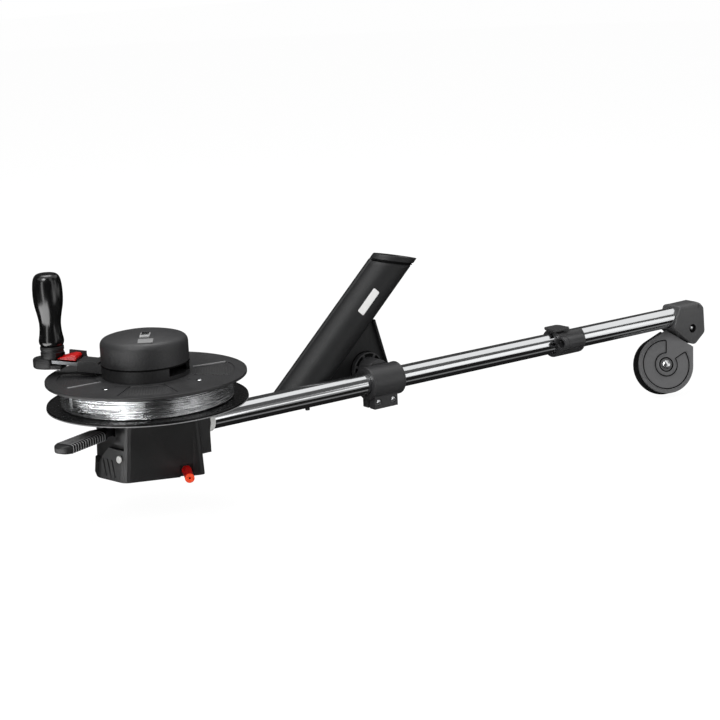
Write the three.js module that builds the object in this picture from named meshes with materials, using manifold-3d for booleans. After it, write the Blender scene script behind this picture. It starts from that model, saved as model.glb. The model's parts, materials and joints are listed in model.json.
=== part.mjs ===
import * as THREE from 'three';
import { mergeVertices } from 'three/addons/utils/BufferGeometryUtils.js';
import Module from 'manifold-3d';

// Manual fishing downrigger, in millimetres, +Z up. The origin is on the spindle's axis, at the
// underside of the base. +X runs out along the boom, and -Y is the side of the lock pin.

const gap = 0.3; // between pieces that touch, and the least running clearance
const overrun = 2; // how far a cut runs past the face that it opens
const weldDistance = 0.0001; // vertices nearer than this are one
const facets = { large: 36, middle: 24, small: 12, hex: 6, corner: 3 };

// frame housing, drawn in plan at the base, with its walls drawn in towards the top
const housing = {
  inboard: 62, outboard: 34, near: 63, far: 40, height: 70, wall: 4.5, roof: 4, cornerRadius: 6,
  deckLevel: 36, deckThickness: 5, roofHoleRadius: 30, bossWall: 4.7,
  pocketDepth: 2.2, pocketMargin: 3, slotLevel: 34.4, slotHeight: 5.2, slotDepth: 3.4,
  stepX: 46, stepStart: -20, stepHigh: 51, stepFlat: -12.6, stepMiddle: 44.5, stepEnd: 12, stepLow: 16,
  leverNear: 6, leverFar: 16, leverHigh: 58,
};
// corners of the plan as shares of the reach on their side, counter-clockwise from the near inboard one
const planShares = [[-0.855, -0.51], [0.82, -1], [1, -0.8], [1, 1], [-0.81, 1], [-1, 0.28]];
// how much narrower the plan is at the top, as a share of each reach
const draftShares = { inboard: 0.15, outboard: 0.08, near: 0.04, far: 0.04 };

const basePlate = { thickness: 4, screwRadius: 2, screwLength: 17, headRadius: 4, headHeight: 2.2, postRadius: 5 };
const baseScrewPlaces = [[-34, 26], [20, 26]];
const caseScrew = { fromCorner: 8.4, z: 25, radius: 1.8, length: 8, headRadius: 4, headHeight: 2.2 };

const lockPin = {
  x: 8.8, y: -57.4, z: 6.6, bearing: 245, knobRadius: 5.2, knobReach: 29, shankRadius: 3, shankReach: 32,
  holeRadius: 1.1, holeDepth: 4, notchWidth: 14, notchHeight: 13.5, notchDepth: 4.5,
  guideWidth: 17, guideBottom: 1, guideTop: 20, guideLength: 12, ringRadius: 4.4, ringThickness: 1.2,
  springRadius: 3.9, springWire: 0.8,
};
const springCurls = 6;
const curlSteps = 8;
const curlSides = 5;

const spindle = {
  radius: 6, bottom: 27, tip: 2.8, nutWall: 4, nutHeight: 6, topNutWall: 2, topNutSeat: 0.4,
  topNutHeight: 4,
};

const spool = {
  radius: 108.3, roofGap: 4.8, height: 30.2, flange: 2.4, drumRadius: 80.5, drumWall: 2.5,
  hubWall: 4.7, bushWall: 2.7,
  rimLip: 2, rimRise: 0.5, landRadius: 52, landRise: 0.3, postRadius: 4.6,
  screwCircle: 70, screwRadius: 1.6, headRadius: 3.3, headHeight: 1.5, headSink: 1.1, screwLength: 17,
  screwBearing: -67,
  pocketInner: 54, pocketOuter: 95.5, pocketAngle: 40, pocketBearing: -29, pocketDepth: 0.9,
  ribWidth: 1.5, ribRise: 0.8, ribOuter: 93, notchBearing: 122, notchWidth: 5, notchDepth: 3,
};
const screwCount = 4;
const pocketCount = 4;

// wire: a plain core of packed turns, and one outer layer
const wire = { diameter: 1.1, layerRadius: 92.9, coreRadius: 90.4, margin: 1.2, stub: 1.1 };
const wireTurns = 14;
const turnSteps = 24;
const wireSides = 6;

const brake = {
  drumRadius: 26, drumWall: 5, drumBottom: 46, flangeRadius: 32, flangeHeight: 2,
  pivotX: -36, pivotY: 7, pinRadius: 3, headRadius: 4.8, headHeight: 2, bossRadius: 6,
  leverLevel: 50.5, leverThickness: 10, leverBearing: 202.3, leverReach: 97, eyeRadius: 7,
  neckWidth: 10, neckReach: 27, shoulderReach: 37, gripWidth: 23, gripBevel: 2.2,
  padSpread: 70, padClearance: 0.7,
};

const gripBevelSteps = 2;
const gripCurveSteps = 8;

const crank = {
  bearing: 132.8, ringRadius: 47.3, ringWall: 3.5, ringTop: 13.7, lift: 0.3, webLevel: 2.1, web: 2,
  hubWall: 3.2, hubTop: 8.4, discInner: 16, discOuter: 42.8, discThickness: 1.5, windowStart: 139.2,
  windowEnd: 188.7,
  armPivotRadius: 88, armPivotLevel: 13.8, armTilt: 5.7, armInner: 44.4, armOuter: 16, armWidth: 27,
  armBelow: 6.3, armAbove: 3.4, padInner: 39.4, padAbove: 5.2, finAbove: 9, cheekWidth: 3.2,
  cheekReach: 1.5,
  cheekAbove: 10.5, barWidth: 19, barThickness: 4, barInner: 70, barReach: 18,
};
const latch = { width: 15, x: -10, z: 6, pinRadius: 1.4, headRadius: 2.2, headHeight: 1, reach: 18, rise: 5.5 };
// outline of the latch seen from the side, about its pin, as shares of its reach and rise
const latchShares = [
  [-0.15, -0.5], [1, -0.5], [1, -0.2], [0.12, 1], [-0.16, 0.9], [-0.24, 0.5], [-0.19, -0.1],
];
const foot = {
  radius: 104, bottom: 7, top: 24, width: 24, back: 13, front: 8, nose: 18, noseWidth: 10,
  cornerRadius: 2.7,
  collarRadius: 11, collarTop: 31.6, axleRadius: 4, axleBottom: 19, axleTop: 105, recessMargin: 0.7,
  recessTop: 10.2,
};
const knob = { bottom: 32.2, height: 79, radius: 16.2 };
// turned outline of the knob: radius and height as shares of its greatest radius and of its height
const knobShares = [
  [0.68, 0], [0.78, 0.012], [0.84, 0.05], [0.83, 0.085], [0.75, 0.17], [0.72, 0.27], [0.76, 0.36],
  [0.85, 0.46],
  [0.94, 0.55], [0.99, 0.64], [1, 0.73], [0.98, 0.82], [0.92, 0.9], [0.82, 0.955], [0.62, 0.988],
  [0.3, 1],
];

const counter = {
  ringGap: 0.4, plateRadius: 43.6, plate: 2.4, hubWall: 2.7, capWall: 3, capHeight: 33,
  windowX: -4, windowY: -12, bearing: -36, windowWidth: 11.7, windowDepth: 9.6, lensThickness: 1.3,
  lensDrop: 1.6, wheelRadius: 9, wheelWidth: 3.3, wheelPitch: 3.7, wheelDrop: 14, axleRadius: 1.2,
  postReach: 8.5,
  postThickness: 2.2, postWidth: 7, postAbove: 3.5,
};
// outline of the cap above its straight side, as shares of the crank ring's radius and of the cap's height
const capShares = [[1, 0.667], [0.965, 0.76], [0.888, 0.833], [0.53, 0.945], [0, 1]];
const wheelNames = ['hundreds_wheel', 'tens_wheel', 'units_wheel'];

// boom tube and what is clamped on it; places along X are counted from the spindle's axis
const boom = { y: -30, z: 50.6, radius: 12.7, wall: 1.6, start: 27, length: 762 };
const socket = {
  inner: 24, outer: 47, wallNear: 4, wallFar: 3, bottom: 18, wallTop: 0.4, boltX: 39, boltRadius: 2.5,
  headRadius: 4.5,
  headHeight: 3.5, ringStart: 50, ringLength: 6.5, ringWall: 1.5, pegX: 186, pegRadius: 2.6,
  pegHeight: 2.6,
  pegShank: 1.4, pegLength: 5,
};
const clamp = {
  x: 290, length: 45, wall: 5.8, slit: 1.5, earX: 288, earLength: 33, earHeight: 16.5, earReach: 11.5,
  screwSpacing: 21,
  screwDrop: 8.8, screwRadius: 2, screwEnd: 9, headRadius: 3.6, headHeight: 2.2, sink: 2.8,
  bossRadius: 15, bossStart: 6, discRadius: 20, discStart: 27, discEnd: 32.7, boltGap: 1,
};
const rod = {
  pivotX: 292, pivotZ: 59, boltRadius: 4, headRadius: 7.5, headHeight: 3, webStart: 33, web: 6,
  tubeY: 38, tubeRadius: 21.8,
  tubeWall: 2.8, tubeAngle: 43.4, axisOffset: 54.1, low: -82, high: 126, slack: 20, endTilt: 33.9,
  collarHeight: 7,
  collarWall: 1.2, lipWidth: 5, lipRise: 1.4, edgeRib: 3, edgeRibOut: 4,
};
// outline of the rod holder's web about its pivot, as shares of the tube's offset from the pivot
const webShares = [
  [-1.1, 0.72], [-1.1, 0.61], [-0.27, -0.36], [0, -0.45], [0.3, -0.42], [0.44, -0.39], [0.93, 0.57],
  [0.93, 0.72],
];
const clip = {
  start: 553, end: 594, wall: 4.4, split: 3.2, pocketReach: 7.5, pocketZ: 2.4, pocketRadius: 8.6,
  pocketWall: 3.2,
  pocketStart: 551, pocketDepth: 28, pocketEnd: 584, visorStart: 541, visorEnd: 572,
  visorHalfWidth: 13, visorRise: 5.4,
  visorThickness: 2.8, prongStart: 545, prongNear: 3, prongFar: 0.5, prongTop: 9, lugStart: 566,
  lugEnd: 584,
  lugReach: 10, lugBelow: 3, lugAbove: 9, screwRadius: 1.6, screwReach: 6.6, headRadius: 3, headHeight: 2,
};
const endCap = {
  start: 748, sideWall: 3, heel: -27.7, toe: 11.7, tipX: 788, tipZ: 12.5, chinX: 805.7, chinZ: 26,
  browX: 801.3,
  browZ: 58.9, crownX: 788.5, top: 70, cornerRadius: 3, boltX: 783, boltDrop: 3.1, boltRadius: 2.4,
  headRadius: 5.2,
  headHeight: 2.4, sink: 3, boltEnd: 10,
};
const pulley = {
  x: 745, z: -10.7, tilt: 39, turn: -28, radius: 38.3, topHalfWidth: 21.3, top: 39.3,
  halfThickness: 11, plate: 3,
  blockBottom: 33, blockHalfWidth: 17, axleRadius: 4, nutRadius: 5.6, nutHeight: 3.4, recessRadius: 8.6,
  recessDepth: 0.7, sheaveRadius: 29, grooveDepth: 5, sheaveHalfWidth: 6.4, grooveHalfWidth: 4, hubRadius: 9,
  channelOuter: 31.3, channelInner: 15, channelStart: 118, channelEnd: 422, swivelRadius: 4, headRadius: 7,
  headHeight: 3, capFace: 41.6, swivelTop: 49,
};

const wasm = await Module();
wasm.setup();

const black = { color: 0x1b1b1d, roughness: 0.62, metalness: 0 };
const gloss = { color: 0x0b0b0c, roughness: 0.18, metalness: 0 };
const grey = { color: 0x4c4c4e, roughness: 0.6, metalness: 0 };
const steel = { color: 0xc9cbce, roughness: 0.22, metalness: 1 };
const dullSteel = { color: 0x8d8f93, roughness: 0.4, metalness: 1 };
const red = { color: 0xd42a12, roughness: 0.4, metalness: 0 };
const pale = { color: 0xd9d9d4, roughness: 0.5, metalness: 0 };
const clear = { color: 0xe8ecec, roughness: 0.1, metalness: 0, transparent: true, opacity: 0.4 };
const lining = { color: 0x6b5a44, roughness: 0.9, metalness: 0 };

const assembly = new THREE.Group();
const radians = THREE.MathUtils.degToRad;
const spoolBottom = housing.height + spool.roofGap;
const spoolTop = spoolBottom + spool.height;
const spindleBore = spindle.radius + gap;
const boomBore = boom.radius + gap;
const socketTop = boom.z + boomBore + socket.wallTop;
const topNutLevel = spoolTop + crank.hubTop + spindle.topNutSeat;
const topNutTop = topNutLevel + spindle.topNutHeight;
const capBottom = spoolTop + crank.ringTop + counter.ringGap;

function addMesh(parent, name, geometry, finish) {
  const mesh = new THREE.Mesh(geometry, new THREE.MeshStandardMaterial(finish));
  mesh.name = name;
  parent.add(mesh);
}

function addGroup(parent, x, y, z) {
  const group = new THREE.Group();
  group.position.set(x, y, z);
  parent.add(group);
  return group;
}

// positions only, with shared vertices merged, empty triangles left out and the faces turned outwards
function weld(geometry) {
  const bare = new THREE.BufferGeometry();
  bare.setAttribute('position', geometry.getAttribute('position').clone());
  if (geometry.index) bare.setIndex(geometry.index.clone());
  const merged = mergeVertices(bare, weldDistance);
  const index = merged.index.array;
  const corner = [new THREE.Vector3(), new THREE.Vector3(), new THREE.Vector3()];
  const kept = [];
  let volume = 0;
  for (let i = 0; i < index.length; i += 3) {
    const [a, b, c] = [index[i], index[i + 1], index[i + 2]];
    if (a === b || b === c || c === a) continue;
    kept.push(a, b, c);
    [a, b, c].forEach((v, k) => corner[k].fromBufferAttribute(merged.getAttribute('position'), v));
    volume += corner[0].dot(corner[1].cross(corner[2]));
  }
  if (volume < 0) kept.reverse();
  merged.setIndex(kept);
  return merged;
}

function solid(geometry) {
  const welded = weld(geometry);
  const vertProperties = new Float32Array(welded.getAttribute('position').array);
  const triVerts = new Uint32Array(welded.index.array);
  return new wasm.Manifold(new wasm.Mesh({ numProp: 3, vertProperties, triVerts }));
}

function shell(body) {
  const mesh = body.getMesh();
  const geometry = new THREE.BufferGeometry();
  geometry.setAttribute('position', new THREE.BufferAttribute(new Float32Array(mesh.vertProperties), 3));
  geometry.setIndex(new THREE.BufferAttribute(new Uint32Array(mesh.triVerts), 1));
  geometry.computeVertexNormals();
  return geometry;
}

const join = (body, ...shapes) => shapes.map(solid).reduce((sum, next) => sum.add(next), body);
const cut = (body, ...shapes) => shapes.map(solid).reduce((rest, next) => rest.subtract(next), body);

// box between two corners
function box(x0, x1, y0, y1, z0, z1) {
  const geometry = new THREE.BoxGeometry(x1 - x0, y1 - y0, z1 - z0);
  return geometry.translate((x0 + x1) / 2, (y0 + y1) / 2, (z0 + z1) / 2);
}

// upright cylinder between two levels
function round(radius, z0, z1, count = facets.small) {
  const geometry = new THREE.CylinderGeometry(radius, radius, z1 - z0, count);
  return geometry.rotateX(Math.PI / 2).translate(0, 0, (z0 + z1) / 2);
}

// solid of revolution about Z from a closed outline of [radius, level] points
function turned(points, count = facets.large) {
  const outline = points.map(([r, z]) => new THREE.Vector2(r, z));
  return new THREE.LatheGeometry([...outline, outline[0].clone()], count).rotateX(Math.PI / 2);
}

const tube = (inner, outer, z0, z1, count = facets.large) => (
  turned([[inner, z0], [outer, z0], [outer, z1], [inner, z1]], count));

function prism(points, z0, z1) {
  const drawn = points instanceof THREE.Shape;
  const shape = drawn ? points : new THREE.Shape(points.map(([x, y]) => new THREE.Vector2(x, y)));
  const options = { depth: z1 - z0, bevelEnabled: false, curveSegments: facets.small };
  return new THREE.ExtrudeGeometry(shape, options).translate(0, 0, z0);
}

// turn what is drawn upright so that its Z runs along +X or along +Y
const alongX = (geometry) => geometry.rotateY(Math.PI / 2);
const alongY = (geometry) => geometry.rotateX(-Math.PI / 2);
// outlines in X and Z with a depth in Y, and in Y and Z with a depth in X
const sideView = (points, y0, y1) => prism(points, -y1, -y0).rotateX(Math.PI / 2);
const endView = (points, x0, x1) => prism(points, x0, x1).rotateX(Math.PI / 2).rotateZ(Math.PI / 2);

// ring sector about Z between two angles in degrees
function sector(inner, outer, from, to, z0, z1) {
  const shape = new THREE.Shape();
  shape.absarc(0, 0, outer, radians(from), radians(to), false);
  shape.absarc(0, 0, inner, radians(to), radians(from), true);
  return prism(shape, z0, z1);
}

// closed outline with its corners rounded
function rounded(points, radius) {
  return points.flatMap(([x, y], i) => {
    const here = new THREE.Vector2(x, y);
    const before = new THREE.Vector2(...points.at(i - 1)).sub(here);
    const after = new THREE.Vector2(...points[(i + 1) % points.length]).sub(here);
    const reach = Math.min(radius, before.length() / 3, after.length() / 3);
    const start = here.clone().add(before.setLength(reach));
    const end = here.clone().add(after.setLength(reach));
    return new THREE.QuadraticBezierCurve(start, here, end).getPoints(facets.corner).map((p) => [p.x, p.y]);
  });
}

// outline moved inwards by a wall; the points run counter-clockwise
function inset(points, wall) {
  return points.map(([x, y], i) => {
    const here = new THREE.Vector2(x, y);
    const into = here.clone().sub(new THREE.Vector2(...points.at(i - 1))).normalize();
    const out = new THREE.Vector2(...points[(i + 1) % points.length]).sub(here).normalize();
    const reach = wall / (1 + into.dot(out));
    return [x - (into.y + out.y) * reach, y + (into.x + out.x) * reach];
  });
}

// hexagon nut with its thread bore
const nut = (radius, bore, z0, z1) => (
  shell(cut(solid(round(radius, z0, z1, facets.hex)), round(bore, z0 - overrun, z1 + overrun))));

// screw with its head at the low end: the head runs from headEnd to seat, and the shank on from there
const screw = (headRadius, radius, headEnd, seat, tip) => (
  turned([
    [0, headEnd], [headRadius, headEnd], [headRadius, seat], [radius, seat], [radius, tip], [0, tip],
  ], facets.small));

// unbroken tube along a list of points, each ring square to the path there
function sweep(points, radius, count) {
  const position = [];
  const index = [];
  points.forEach((point, i) => {
    const ahead = points[Math.min(i + 1, points.length - 1)];
    const run = ahead.clone().sub(points[Math.max(i - 1, 0)]).normalize();
    const side = run.clone().cross(new THREE.Vector3(0, 0, 1)).normalize();
    const up = side.clone().cross(run);
    for (let k = 0; k < count; k += 1) {
      const angle = (2 * Math.PI * k) / count;
      const spoke = side.clone().multiplyScalar(Math.cos(angle)).addScaledVector(up, Math.sin(angle));
      position.push(...point.clone().addScaledVector(spoke, radius).toArray());
    }
  });
  for (let i = 0; i < points.length - 1; i += 1) {
    for (let k = 0; k < count; k += 1) {
      const [a, b] = [i * count + k, i * count + ((k + 1) % count)];
      index.push(a, b, b + count, a, b + count, a + count);
    }
  }
  const last = (points.length - 1) * count;
  for (let k = 1; k < count - 1; k += 1) index.push(0, k + 1, k, last, last + k, last + k + 1);
  const geometry = new THREE.BufferGeometry();
  geometry.setAttribute('position', new THREE.Float32BufferAttribute(position, 3));
  geometry.setIndex(index);
  return weld(geometry);
}

// least distance between turns of a path, less the diameter
function leastGap(points, stepsApart, diameter) {
  let least = Infinity;
  for (let i = 0; i < points.length; i += 1) {
    for (let j = i + stepsApart; j < points.length; j += 1) {
      least = Math.min(least, points[i].distanceTo(points[j]));
    }
  }
  return least - diameter;
}

const plan = planShares.map(([x, y]) => [
  x * (x < 0 ? housing.inboard : housing.outboard),
  y * (y < 0 ? housing.near : housing.far),
]);
const deckTop = housing.deckLevel + housing.deckThickness;
const roofBottom = housing.height - housing.roof;

// narrow a shape of the housing towards the top, as the moulding's draft does
function drafted(geometry) {
  const place = geometry.getAttribute('position');
  for (let i = 0; i < place.count; i += 1) {
    const rise = place.getZ(i) / housing.height;
    const shareX = place.getX(i) < 0 ? draftShares.inboard : draftShares.outboard;
    const shareY = place.getY(i) < 0 ? draftShares.near : draftShares.far;
    place.setX(i, place.getX(i) * (1 - shareX * rise));
    place.setY(i, place.getY(i) * (1 - shareY * rise));
  }
  return geometry;
}

// stepped-down corner under the brake lever; a wall moves its faces into the solid
const step = (wall) => endView([
  [housing.stepStart - wall, housing.height + overrun], [housing.stepStart - wall, housing.stepHigh - wall],
  [housing.stepFlat - wall, housing.stepMiddle - wall], [housing.stepEnd - wall, housing.stepLow - wall],
  [housing.far + overrun, housing.stepLow - wall], [housing.far + overrun, housing.height + overrun],
], -housing.inboard - overrun, -housing.stepX + wall);

// frame on the inboard wall: X along it from the near corner, Y outwards
function wallFrame() {
  const [from, to] = [plan[0], plan.at(-1)];
  const turn = new THREE.Matrix4().makeRotationZ(Math.atan2(to[1] - from[1], to[0] - from[0]));
  return new THREE.Matrix4().makeTranslation(from[0], from[1], 0).multiply(turn);
}
const onWall = (geometry) => drafted(geometry.applyMatrix4(wallFrame()));

// frame of the lock pin: X along it, out of the front wall
const pinTurn = new THREE.Matrix4().makeRotationZ(radians(lockPin.bearing));
const pinFrame = new THREE.Matrix4().makeTranslation(lockPin.x, lockPin.y, lockPin.z).multiply(pinTurn);
const guideBack = lockPin.notchDepth + lockPin.guideLength;

const leverBottom = brake.leverLevel - brake.leverThickness / 2;
const leverTop = brake.leverLevel + brake.leverThickness / 2;
const atLeverPin = (geometry) => geometry.translate(brake.pivotX, brake.pivotY, 0);

function makeHousing() {
  const guide = box(-guideBack, -lockPin.notchDepth, -lockPin.guideWidth / 2, lockPin.guideWidth / 2,
    lockPin.guideBottom - lockPin.z, lockPin.guideTop - lockPin.z).applyMatrix4(pinFrame);
  const socketBlock = box(socket.inner, socket.outer, boom.y - boomBore - socket.wallNear,
    boom.y + boomBore + socket.wallFar, socket.bottom, socketTop);
  const posts = baseScrewPlaces.map(([x, y]) => (
    round(basePlate.postRadius, basePlate.thickness + gap, housing.deckLevel + gap).translate(x, y, 0)));
  const stepWall = solid(step(housing.wall));
  const upper = solid(drafted(prism(inset(plan, housing.wall), deckTop, roofBottom)));
  const lower = solid(drafted(prism(inset(plan, housing.wall), -overrun, housing.deckLevel)));
  const outer = solid(drafted(prism(rounded(plan, housing.cornerRadius), 0, housing.height)));
  let body = cut(outer, step(0)).subtract(upper.subtract(stepWall)).subtract(lower.subtract(stepWall));
  body = join(body, socketBlock, guide, ...posts);
  body = cut(body, round(housing.roofHoleRadius, brake.drumBottom - gap, housing.height + overrun, facets.large));
  body = join(body,
    round(spindleBore + housing.bossWall, housing.deckLevel + gap, spoolBottom - gap, facets.middle),
    atLeverPin(round(brake.bossRadius, housing.deckLevel + gap, leverBottom - gap)));
  return shell(cut(body, ...housingHoles()));
}

function housingHoles() {
  const { pocketMargin, slotLevel, slotHeight, deckLevel, leverNear, leverFar } = housing;
  return [
    round(spindleBore, deckLevel - overrun, spoolBottom + overrun, facets.middle),
    atLeverPin(round(brake.pinRadius + gap, deckLevel - overrun, leverTop)),
    box(-housing.inboard - overrun, housing.wall + gap - housing.stepX, -leverNear, leverFar,
      leverBottom - gap - gap, housing.leverHigh),
    alongX(round(boomBore, boom.start - gap, socket.outer + overrun, facets.middle))
      .translate(0, boom.y, boom.z),
    round(socket.boltRadius + gap, socket.bottom - overrun, socketTop + overrun)
      .translate(socket.boltX, boom.y, 0),
    onWall(box(pocketMargin, housing.near, -housing.pocketDepth, overrun,
      slotLevel + slotHeight - gap, roofBottom)),
    onWall(box(pocketMargin, housing.near, -housing.slotDepth, overrun, slotLevel, slotLevel + slotHeight)),
    onWall(alongY(round(caseScrew.radius + gap, -caseScrew.length - overrun, overrun))
      .translate(caseScrew.fromCorner, 0, caseScrew.z)),
    box(-lockPin.notchDepth, lockPin.knobReach, -lockPin.notchWidth / 2, lockPin.notchWidth / 2,
      -lockPin.z - overrun, lockPin.notchHeight - lockPin.z).applyMatrix4(pinFrame),
    alongX(round(lockPin.shankRadius + gap, -guideBack - overrun, lockPin.knobReach)).applyMatrix4(pinFrame),
    ...baseScrewPlaces.map(([x, y]) => (
      round(basePlate.screwRadius + gap, 0, basePlate.screwLength + overrun).translate(x, y, 0))),
  ];
}

function addFrame(parent) {
  const headSeat = gap + basePlate.headHeight;
  const guideRoom = box(-guideBack - gap, 0, -lockPin.guideWidth / 2 - gap, lockPin.guideWidth / 2 + gap,
    -lockPin.z - overrun, lockPin.z).applyMatrix4(pinFrame);
  const springHalf = lockPin.ringRadius + gap + gap;
  const springRoom = box(-lockPin.shankReach - overrun, 0, -springHalf, springHalf,
    lockPin.guideBottom - lockPin.z, lockPin.z).applyMatrix4(pinFrame);
  const holes = baseScrewPlaces.flatMap(([x, y]) => [
    round(basePlate.screwRadius + gap, -overrun, basePlate.thickness + overrun).translate(x, y, 0),
    round(basePlate.headRadius + gap, -overrun, headSeat + gap).translate(x, y, 0),
  ]);
  const plate = solid(drafted(prism(inset(plan, housing.wall + gap), 0, basePlate.thickness)));
  addMesh(parent, 'housing', makeHousing(), black);
  addMesh(parent, 'base_plate', shell(cut(plate, guideRoom, springRoom, ...holes)), black);
  baseScrewPlaces.forEach(([x, y], i) => {
    const geometry = screw(basePlate.headRadius, basePlate.screwRadius, gap, headSeat, basePlate.screwLength);
    addMesh(parent, `base_screw_${i + 1}`, weld(geometry.translate(x, y, 0)), steel);
  });
  const upright = screw(caseScrew.headRadius, caseScrew.radius, -caseScrew.headHeight, 0, caseScrew.length);
  const seated = alongY(upright.rotateX(Math.PI)).translate(caseScrew.fromCorner, gap, caseScrew.z);
  addMesh(parent, 'case_screw', weld(onWall(seated)), pale);
}

function addSpindle(parent) {
  const nutTop = housing.deckLevel - gap;
  const [nutRadius, topNutRadius] = [spindle.radius + spindle.nutWall, spindle.radius + spindle.topNutWall];
  const rod = round(spindle.radius, spindle.bottom, topNutTop + spindle.tip, facets.middle);
  addMesh(parent, 'spindle', weld(rod), steel);
  addMesh(parent, 'spindle_nut', nut(nutRadius, spindleBore, nutTop - spindle.nutHeight, nutTop), steel);
  addMesh(parent, 'crank_nut', nut(topNutRadius, spindleBore, topNutLevel, topNutTop), steel);
}

function addLockPin(parent) {
  const { shankReach, ringRadius, ringThickness, shankRadius, knobRadius, knobReach } = lockPin;
  const { holeRadius, holeDepth, springRadius, springWire } = lockPin;
  const knobStart = gap - lockPin.notchDepth;
  const outline = [
    [0, -shankReach], [ringRadius, -shankReach], [ringRadius, ringThickness - shankReach],
    [shankRadius, ringThickness - shankReach], [shankRadius, knobStart], [knobRadius, knobStart],
    [knobRadius, knobReach], [holeRadius, knobReach], [holeRadius, knobReach - holeDepth],
    [0, knobReach - holeDepth],
  ];
  addMesh(parent, 'lock_pin', weld(alongX(turned(outline, facets.small)).applyMatrix4(pinFrame)), red);
  const start = ringThickness - shankReach + gap + springWire / 2;
  const length = -guideBack - gap - springWire / 2 - start;
  const points = [];
  for (let i = 0; i <= springCurls * curlSteps; i += 1) {
    const angle = (2 * Math.PI * i) / curlSteps;
    const place = start + (length * i) / (springCurls * curlSteps);
    const spoke = new THREE.Vector3(Math.cos(angle), Math.sin(angle), 0);
    points.push(spoke.multiplyScalar(springRadius).setZ(place));
  }
  console.log('lock spring, least gap to itself', leastGap(points, curlSteps - 1, springWire).toFixed(3));
  const coil = alongX(sweep(points, springWire / 2, curlSides)).applyMatrix4(pinFrame);
  addMesh(parent, 'lock_spring', coil, steel);
}

function makeLever() {
  const { eyeRadius, gripWidth, leverReach, gripBevel, neckReach, shoulderReach } = brake;
  const [tipCentre, halfNeck] = [leverReach - gripWidth / 2, brake.neckWidth / 2];
  const halfGrip = gripWidth / 2 - gripBevel;
  const grip = new THREE.Shape();
  grip.moveTo(0, -halfNeck);
  grip.lineTo(neckReach, -halfNeck);
  grip.lineTo(shoulderReach, -halfGrip);
  grip.absarc(tipCentre, 0, halfGrip, -Math.PI / 2, Math.PI / 2, false);
  grip.lineTo(shoulderReach, halfGrip);
  grip.lineTo(neckReach, halfNeck);
  grip.lineTo(0, halfNeck);
  const options = {
    depth: brake.leverThickness - gripBevel - gripBevel, bevelThickness: gripBevel, bevelSize: gripBevel,
    bevelSegments: gripBevelSteps, curveSegments: gripCurveSteps,
  };
  const handle = new THREE.ExtrudeGeometry(grip, options).translate(0, 0, leverBottom + gripBevel);
  const lever = join(solid(handle), round(eyeRadius, leverBottom, leverTop, facets.middle));
  return shell(cut(lever, round(brake.pinRadius + gap, leverBottom - overrun, leverTop + overrun)));
}

function addBrake(parent) {
  const { pivotX, pivotY, eyeRadius, padSpread } = brake;
  addMesh(parent, 'brake_lever', atLeverPin(makeLever().rotateZ(radians(brake.leverBearing))), black);
  const reach = Math.hypot(pivotX, pivotY) - brake.drumRadius - brake.padClearance;
  const towards = THREE.MathUtils.radToDeg(Math.atan2(-pivotY, -pivotX));
  const pad = sector(eyeRadius + gap, reach, towards - padSpread / 2, towards + padSpread / 2,
    leverBottom + gap, leverTop - gap);
  addMesh(parent, 'brake_pad', weld(atLeverPin(pad)), lining);
  const headSeat = -leverTop - gap;
  const pin = screw(
    brake.headRadius, brake.pinRadius, headSeat - brake.headHeight, headSeat, -housing.deckLevel - gap);
  addMesh(parent, 'lever_pin', weld(atLeverPin(pin.rotateX(Math.PI))), steel);
}

const floorLevel = spoolBottom + spool.flange;
const plateTop = spoolTop - spool.landRise;
const plateBottom = plateTop - spool.flange;

function addSpool(parent) {
  const bushOuter = spindleBore + spool.bushWall;
  const wallTop = plateBottom - gap;
  const headSeat = plateTop - spool.headSink;
  const tip = headSeat - spool.screwLength;
  const bearings = Array.from({ length: screwCount }, (_, i) => spool.screwBearing + (i * 360) / screwCount);
  const places = bearings.map(radians);
  const atPlace = (geometry, angle) => geometry.translate(spool.screwCircle, 0, 0).rotateZ(angle);
  const posts = places.map((angle) => atPlace(round(spool.postRadius, floorLevel - gap, wallTop), angle));
  const bores = places.map((angle) => (
    atPlace(round(spool.screwRadius + gap, tip - gap, wallTop + overrun), angle)));
  const sinks = places.flatMap((angle) => [
    atPlace(round(spool.screwRadius + gap, plateBottom - overrun, plateTop + overrun), angle),
    atPlace(round(spool.headRadius + gap, headSeat - gap, plateTop + overrun), angle),
  ]);
  const lower = turned(lowerFlangeOutline(bushOuter + gap, wallTop));
  const upper = turned(upperFlangeOutline(bushOuter + gap));
  addMesh(parent, 'spool_lower', shell(cut(join(solid(lower), ...posts), ...bores)), black);
  const topPlate = join(cut(solid(upper), ...flangeCuts(), ...sinks), ...flangeRibs());
  addMesh(parent, 'spool_upper', shell(topPlate), black);
  places.forEach((angle, i) => {
    const down = screw(spool.headRadius, spool.screwRadius, -headSeat - spool.headHeight, -headSeat, -tip);
    addMesh(parent, `spool_screw_${i + 1}`, weld(atPlace(down.rotateX(Math.PI), angle)), steel);
  });
  const bush = tube(spindleBore, bushOuter, spoolBottom, spoolTop, facets.middle);
  addMesh(parent, 'spool_bush', weld(bush), pale);
  addBrakeDrum(parent);
  addWire(parent);
}

// lower flange, drum wall and hub in one
function lowerFlangeOutline(bore, wallTop) {
  const { radius, rimLip, rimRise, drumRadius, drumWall } = spool;
  const hubRadius = bore + spool.hubWall;
  return [
    [bore, spoolBottom], [radius - rimLip, spoolBottom], [radius - rimLip, spoolBottom - rimRise],
    [radius, spoolBottom - rimRise],
    [radius, floorLevel + rimRise], [radius - rimLip, floorLevel + rimRise], [radius - rimLip, floorLevel],
    [drumRadius, floorLevel], [drumRadius, wallTop], [drumRadius - drumWall, wallTop],
    [drumRadius - drumWall, floorLevel], [hubRadius, floorLevel], [hubRadius, wallTop], [bore, wallTop],
  ];
}

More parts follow.
